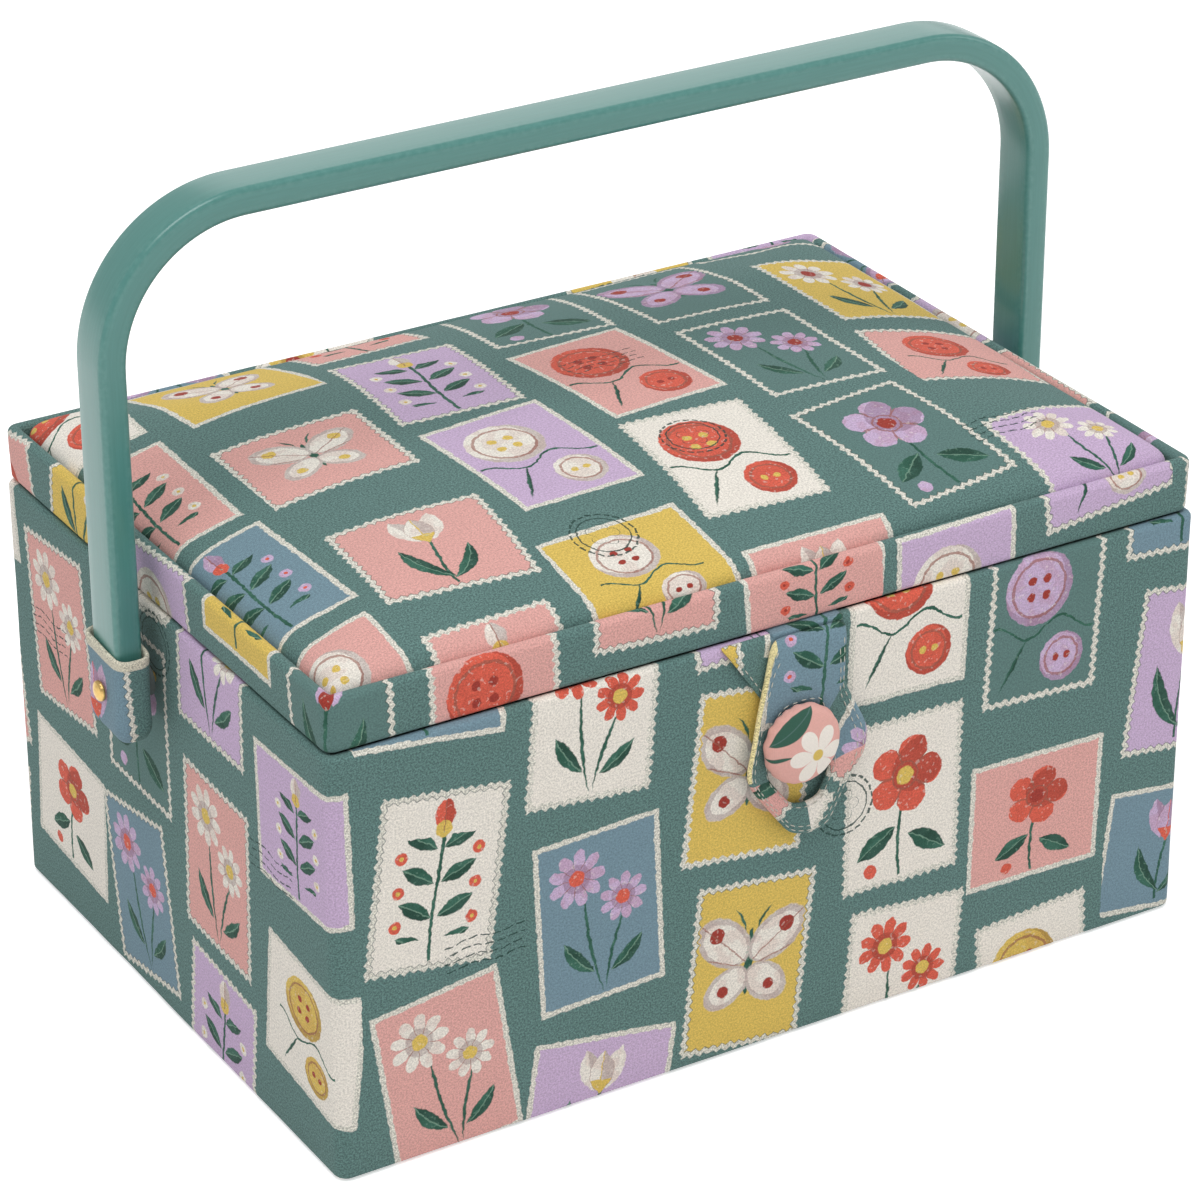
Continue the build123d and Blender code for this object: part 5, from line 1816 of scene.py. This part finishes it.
class SEWINGBOX_OT_inside(bpy.types.Operator):
    """Make the padded floor and the lid's gathered pocket"""

    bl_idname = "sewingbox.inside"
    bl_label = "Lining and pocket"

    def execute(self, context):
        self.floor()
        self.pocket(context.scene.sewingbox_loop)
        return {"FINISHED"}

    def floor(self):
        """A quilted pad on the case's floor."""
        low, high = FLOOR_LOW, FLOOR_HIGH
        columns, rows = 84, 60
        quilt = 42 * MM
        points = []
        for row in range(rows + 1):
            for column in range(columns + 1):
                x = low.x + (high.x - low.x) * column / columns
                y = low.y + (high.y - low.y) * row / rows
                near = min(x - low.x, high.x - x, y - low.y, high.y - y)
                edge = 1 - math.exp(-near / (1.6 * MM))
                diagonal = abs(math.sin((x + y) * math.pi / quilt)) * abs(math.sin((x - y) * math.pi / quilt))
                rise = (high.z - low.z) * (0.35 + 0.65 * edge * (0.45 + 0.55 * diagonal ** 0.4))
                points.append(Vector((x, y, low.z + rise)))
        top_faces, _ = grid_faces(rows + 1, columns + 1)
        top_faces = [list(reversed(face)) for face in top_faces]
        count = len(points)
        points += [Vector((point.x, point.y, low.z)) for point in points[:count]]
        faces = list(top_faces)
        faces += [[number + count for number in reversed(face)] for face in top_faces]
        border = list(range(columns + 1))
        border += [row * (columns + 1) + columns for row in range(1, rows + 1)]
        border += [rows * (columns + 1) + column for column in range(columns - 1, -1, -1)]
        border += [row * (columns + 1) for row in range(rows - 1, 0, -1)]
        for first, second in zip(border, border[1:] + border[:1]):
            faces.append([first + count, second + count, second, first])
        cushion = mesh_object("floor_cushion", points, faces, "lining_cotton")
        turn_outwards(cushion)
        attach(cushion, "box")
        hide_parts("floor_pad")

    def pocket(self, sewing):
        """A pocket gathered by elastic along its mouth."""
        low, high = POCKET_LOW, POCKET_HIGH
        columns, rows = 220, 36
        seat = LINING_BOTTOM
        hem_depth = 10.0 * MM
        gathers = 46
        points = []
        for row in range(rows + 1):
            y = low.y + (high.y - low.y) * row / rows
            back_share = (y - low.y) / (high.y - low.y)
            for column in range(columns + 1):
                share = column / columns
                x = low.x + (high.x - low.x) * share
                side = min(share, 1 - share) * (high.x - low.x)
                seam = min(1.0, side / (7 * MM), (high.y - y) / (7 * MM))
                phase = share * gathers * math.tau + math.sin(share * 31) * 1.1
                fold = 0.5 + 0.5 * math.sin(phase + back_share * 1.4 * math.sin(share * 17))
                if y < low.y + hem_depth:
                    inside = abs((y - low.y) / hem_depth - 0.5) * 2
                    drop = 1.1 * MM + 1.45 * MM * (1 - inside ** 8) + 0.7 * MM * fold * seam
                else:
                    fade = math.exp(-(y - low.y - hem_depth) / (30 * MM))
                    drop = 0.75 * MM * seam + 1.5 * MM * fold * fade * seam
                    drop += 0.12 * MM * noise.noise(Vector((x * 40, y * 40, 0)))
                points.append(Vector((x, y, seat - 0.12 * MM - drop)))
        faces, corners = grid_faces(rows + 1, columns + 1)
        uvs = [((high.x - low.x) * 1.35 * column / columns, (high.y - low.y) * row / rows)
               for row, column in corners]
        cloth = mesh_object("gathered_pocket", points, faces,
                            printed_cotton("pocket", (60.0, 10.0), 19.0, math.pi), uvs)
        settle(thicken(cloth, 0.4 * MM, 1.0))
        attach(cloth, "lid")
        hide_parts("lid_pocket")
        inset = 3.0 * MM
        depth = seat - 1.05 * MM
        left, right = low.x + inset, high.x - inset
        near, far = low.y + hem_depth, high.y - inset
        line = [Vector((left, near, depth))]
        for start, end, steps in (((left, near), (left, far), 30), ((left, far), (right, far), 60),
                                  ((right, far), (right, near), 30)):
            for step in range(1, steps + 1):
                line.append(Vector((start[0] + (end[0] - start[0]) * step / steps,
                                    start[1] + (end[1] - start[1]) * step / steps, depth)))
        seam = run_stitches("pocket_stitches", [(line, False)], sewing, 8)
        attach(seam, "lid")


class SEWINGBOX_OT_stage(bpy.types.Operator):
    """Set the floor, the soft lamps and the camera"""

    bl_idname = "sewingbox.stage"
    bl_label = "Stage and camera"

    def execute(self, context):
        scene = context.scene
        settings = scene.sewingbox_stage
        material, tree, shader = new_material("floor_paper")
        vector = object_vector(tree)
        fine = speckle(tree, vector, 0.02, 2.0)
        pale = (*settings.floor, 1.0)
        paper = tinted(tree, fine, pale, darkened(pale, 0.99))
        path = add_node(tree, "ShaderNodeLightPath")
        seen = Signal(tree, path["Is Camera Ray"]) + Signal(tree, path["Is Glossy Ray"])
        seen = (seen + Signal(tree, path["Is Transmission Ray"])).least(1.0)
        set_inputs(tree, shader, Base_Color=paper, Roughness=0.9, Emission_Strength=seen * 0.5,
                   Emission_Color=(1, 1, 1, 1))
        reach = 6
        corners = [(-reach, -reach, 0), (reach, -reach, 0), (reach, reach, 0), (-reach, reach, 0)]
        floor = mesh_object("floor", corners, [(0, 1, 2, 3)], material)

        world = bpy.data.worlds.new("soft_room")
        world.use_nodes = True
        scene.world = world
        room = world.node_tree
        room.nodes.clear()
        even = add_node(room, "ShaderNodeBackground", ("Color", (1, 1, 1, 1)), ("Strength", settings.sky))
        white = add_node(room, "ShaderNodeBackground", ("Color", (1, 1, 1, 1)), ("Strength", 1.0))
        path = add_node(room, "ShaderNodeLightPath")
        seen = Signal(room, path["Is Camera Ray"]) + Signal(room, path["Is Transmission Ray"])
        shown = add_node(room, "ShaderNodeMixShader", (0, seen.least(1.0)), (1, even[0]), (2, white[0]))
        add_node(room, "ShaderNodeOutputWorld", ("Surface", shown[0]))

        target = Vector((0, 0, 0.09))
        for name, place, extent, power in (
                ("key_lamp", Vector((-0.45, -0.55, 1.9)), 1.2, settings.lamp),
                ("fill_lamp", Vector((1.7, -0.9, 0.9)), 1.2, settings.lamp * 0.3),
                ("back_lamp", Vector((1.05, 1.75, 1.1)), 1.6, settings.lamp * 0.25)):
            lamp = bpy.data.lights.new(name, "AREA")
            lamp.shape = "DISK"
            lamp.size = extent
            lamp.energy = power
            holder = bpy.data.objects.new(name, lamp)
            holder.location = place
            holder.visible_camera = False
            holder.rotation_euler = (target - place).to_track_quat("-Z", "Y").to_euler()
            scene.collection.objects.link(holder)

        azimuth = math.radians(-30.98)
        elevation = math.radians(27.12)
        roll = math.radians(-0.21)
        back = Vector((math.sin(azimuth) * math.cos(elevation), -math.cos(azimuth) * math.cos(elevation),
                       math.sin(elevation)))
        right = (-back).cross(Vector((0, 0, 1))).normalized()
        up = right.cross(-back)
        rolled_right = right * math.cos(roll) + up * math.sin(roll)
        rolled_up = up * math.cos(roll) - right * math.sin(roll)
        focal_pixels = 4537.4
        picture_width = 1200
        sensor = 36.0
        place_x, place_y, place_z = -559.2 * MM, -933.8 * MM, 646.9 * MM
        lens = bpy.data.cameras.new("camera")
        lens.sensor_width = sensor
        lens.lens = focal_pixels / picture_width * sensor
        camera = bpy.data.objects.new("camera", lens)
        camera.matrix_world = Matrix((
            (rolled_right.x, rolled_up.x, back.x, place_x),
            (rolled_right.y, rolled_up.y, back.y, place_y),
            (rolled_right.z, rolled_up.z, back.z, place_z),
            (0, 0, 0, 1)))
        scene.collection.objects.link(camera)
        scene.camera = camera
        scene.view_settings.view_transform = "Standard"
        return {"FINISHED"}


class SEWINGBOX_PT_panel(bpy.types.Panel):
    """The sewing box's pieces"""

    bl_idname = "SEWINGBOX_PT_panel"
    bl_label = "Sewing box"
    bl_space_type = "VIEW_3D"
    bl_region_type = "UI"
    bl_category = "Sewing Box"

    def draw(self, context):
        for piece in PIECES:
            self.layout.operator(piece.bl_idname)
        for name in SETTINGS:
            group = getattr(context.scene, name)
            for label in group.__annotations__:
                self.layout.prop(group, label)


PIECES = (
    SEWINGBOX_OT_finishes,
    SEWINGBOX_OT_stage,
    SEWINGBOX_OT_case_cloth,
    SEWINGBOX_OT_lid_rim,
    SEWINGBOX_OT_padded_top,
    SEWINGBOX_OT_handle,
    SEWINGBOX_OT_sleeves,
    SEWINGBOX_OT_loop,
    SEWINGBOX_OT_button,
    SEWINGBOX_OT_hinge,
    SEWINGBOX_OT_inside,
)
SETTINGS = {
    "sewingbox_case": SewingBoxCase,
    "sewingbox_lid": SewingBoxLid,
    "sewingbox_handle": SewingBoxHandle,
    "sewingbox_loop": SewingBoxLoop,
    "sewingbox_stage": SewingBoxStage,
}


def register():
    for kind in (*SETTINGS.values(), *PIECES, SEWINGBOX_PT_panel):
        bpy.utils.register_class(kind)
    for name, kind in SETTINGS.items():
        setattr(bpy.types.Scene, name, PointerProperty(type=kind))


def unregister():
    for name in SETTINGS:
        delattr(bpy.types.Scene, name)
    for kind in reversed((*SETTINGS.values(), *PIECES, SEWINGBOX_PT_panel)):
        bpy.utils.unregister_class(kind)


def main():
    """Dress the whole sewing box."""
    register()
    bpy.ops.sewingbox.finishes()
    bpy.ops.sewingbox.stage()
    bpy.ops.sewingbox.case_cloth()
    bpy.ops.sewingbox.lid_rim()
    bpy.ops.sewingbox.padded_top()
    bpy.ops.sewingbox.handle()
    bpy.ops.sewingbox.sleeves()
    bpy.ops.sewingbox.loop()
    bpy.ops.sewingbox.button()
    bpy.ops.sewingbox.hinge()
    bpy.ops.sewingbox.inside()


if __name__ == "__main__":
    main()
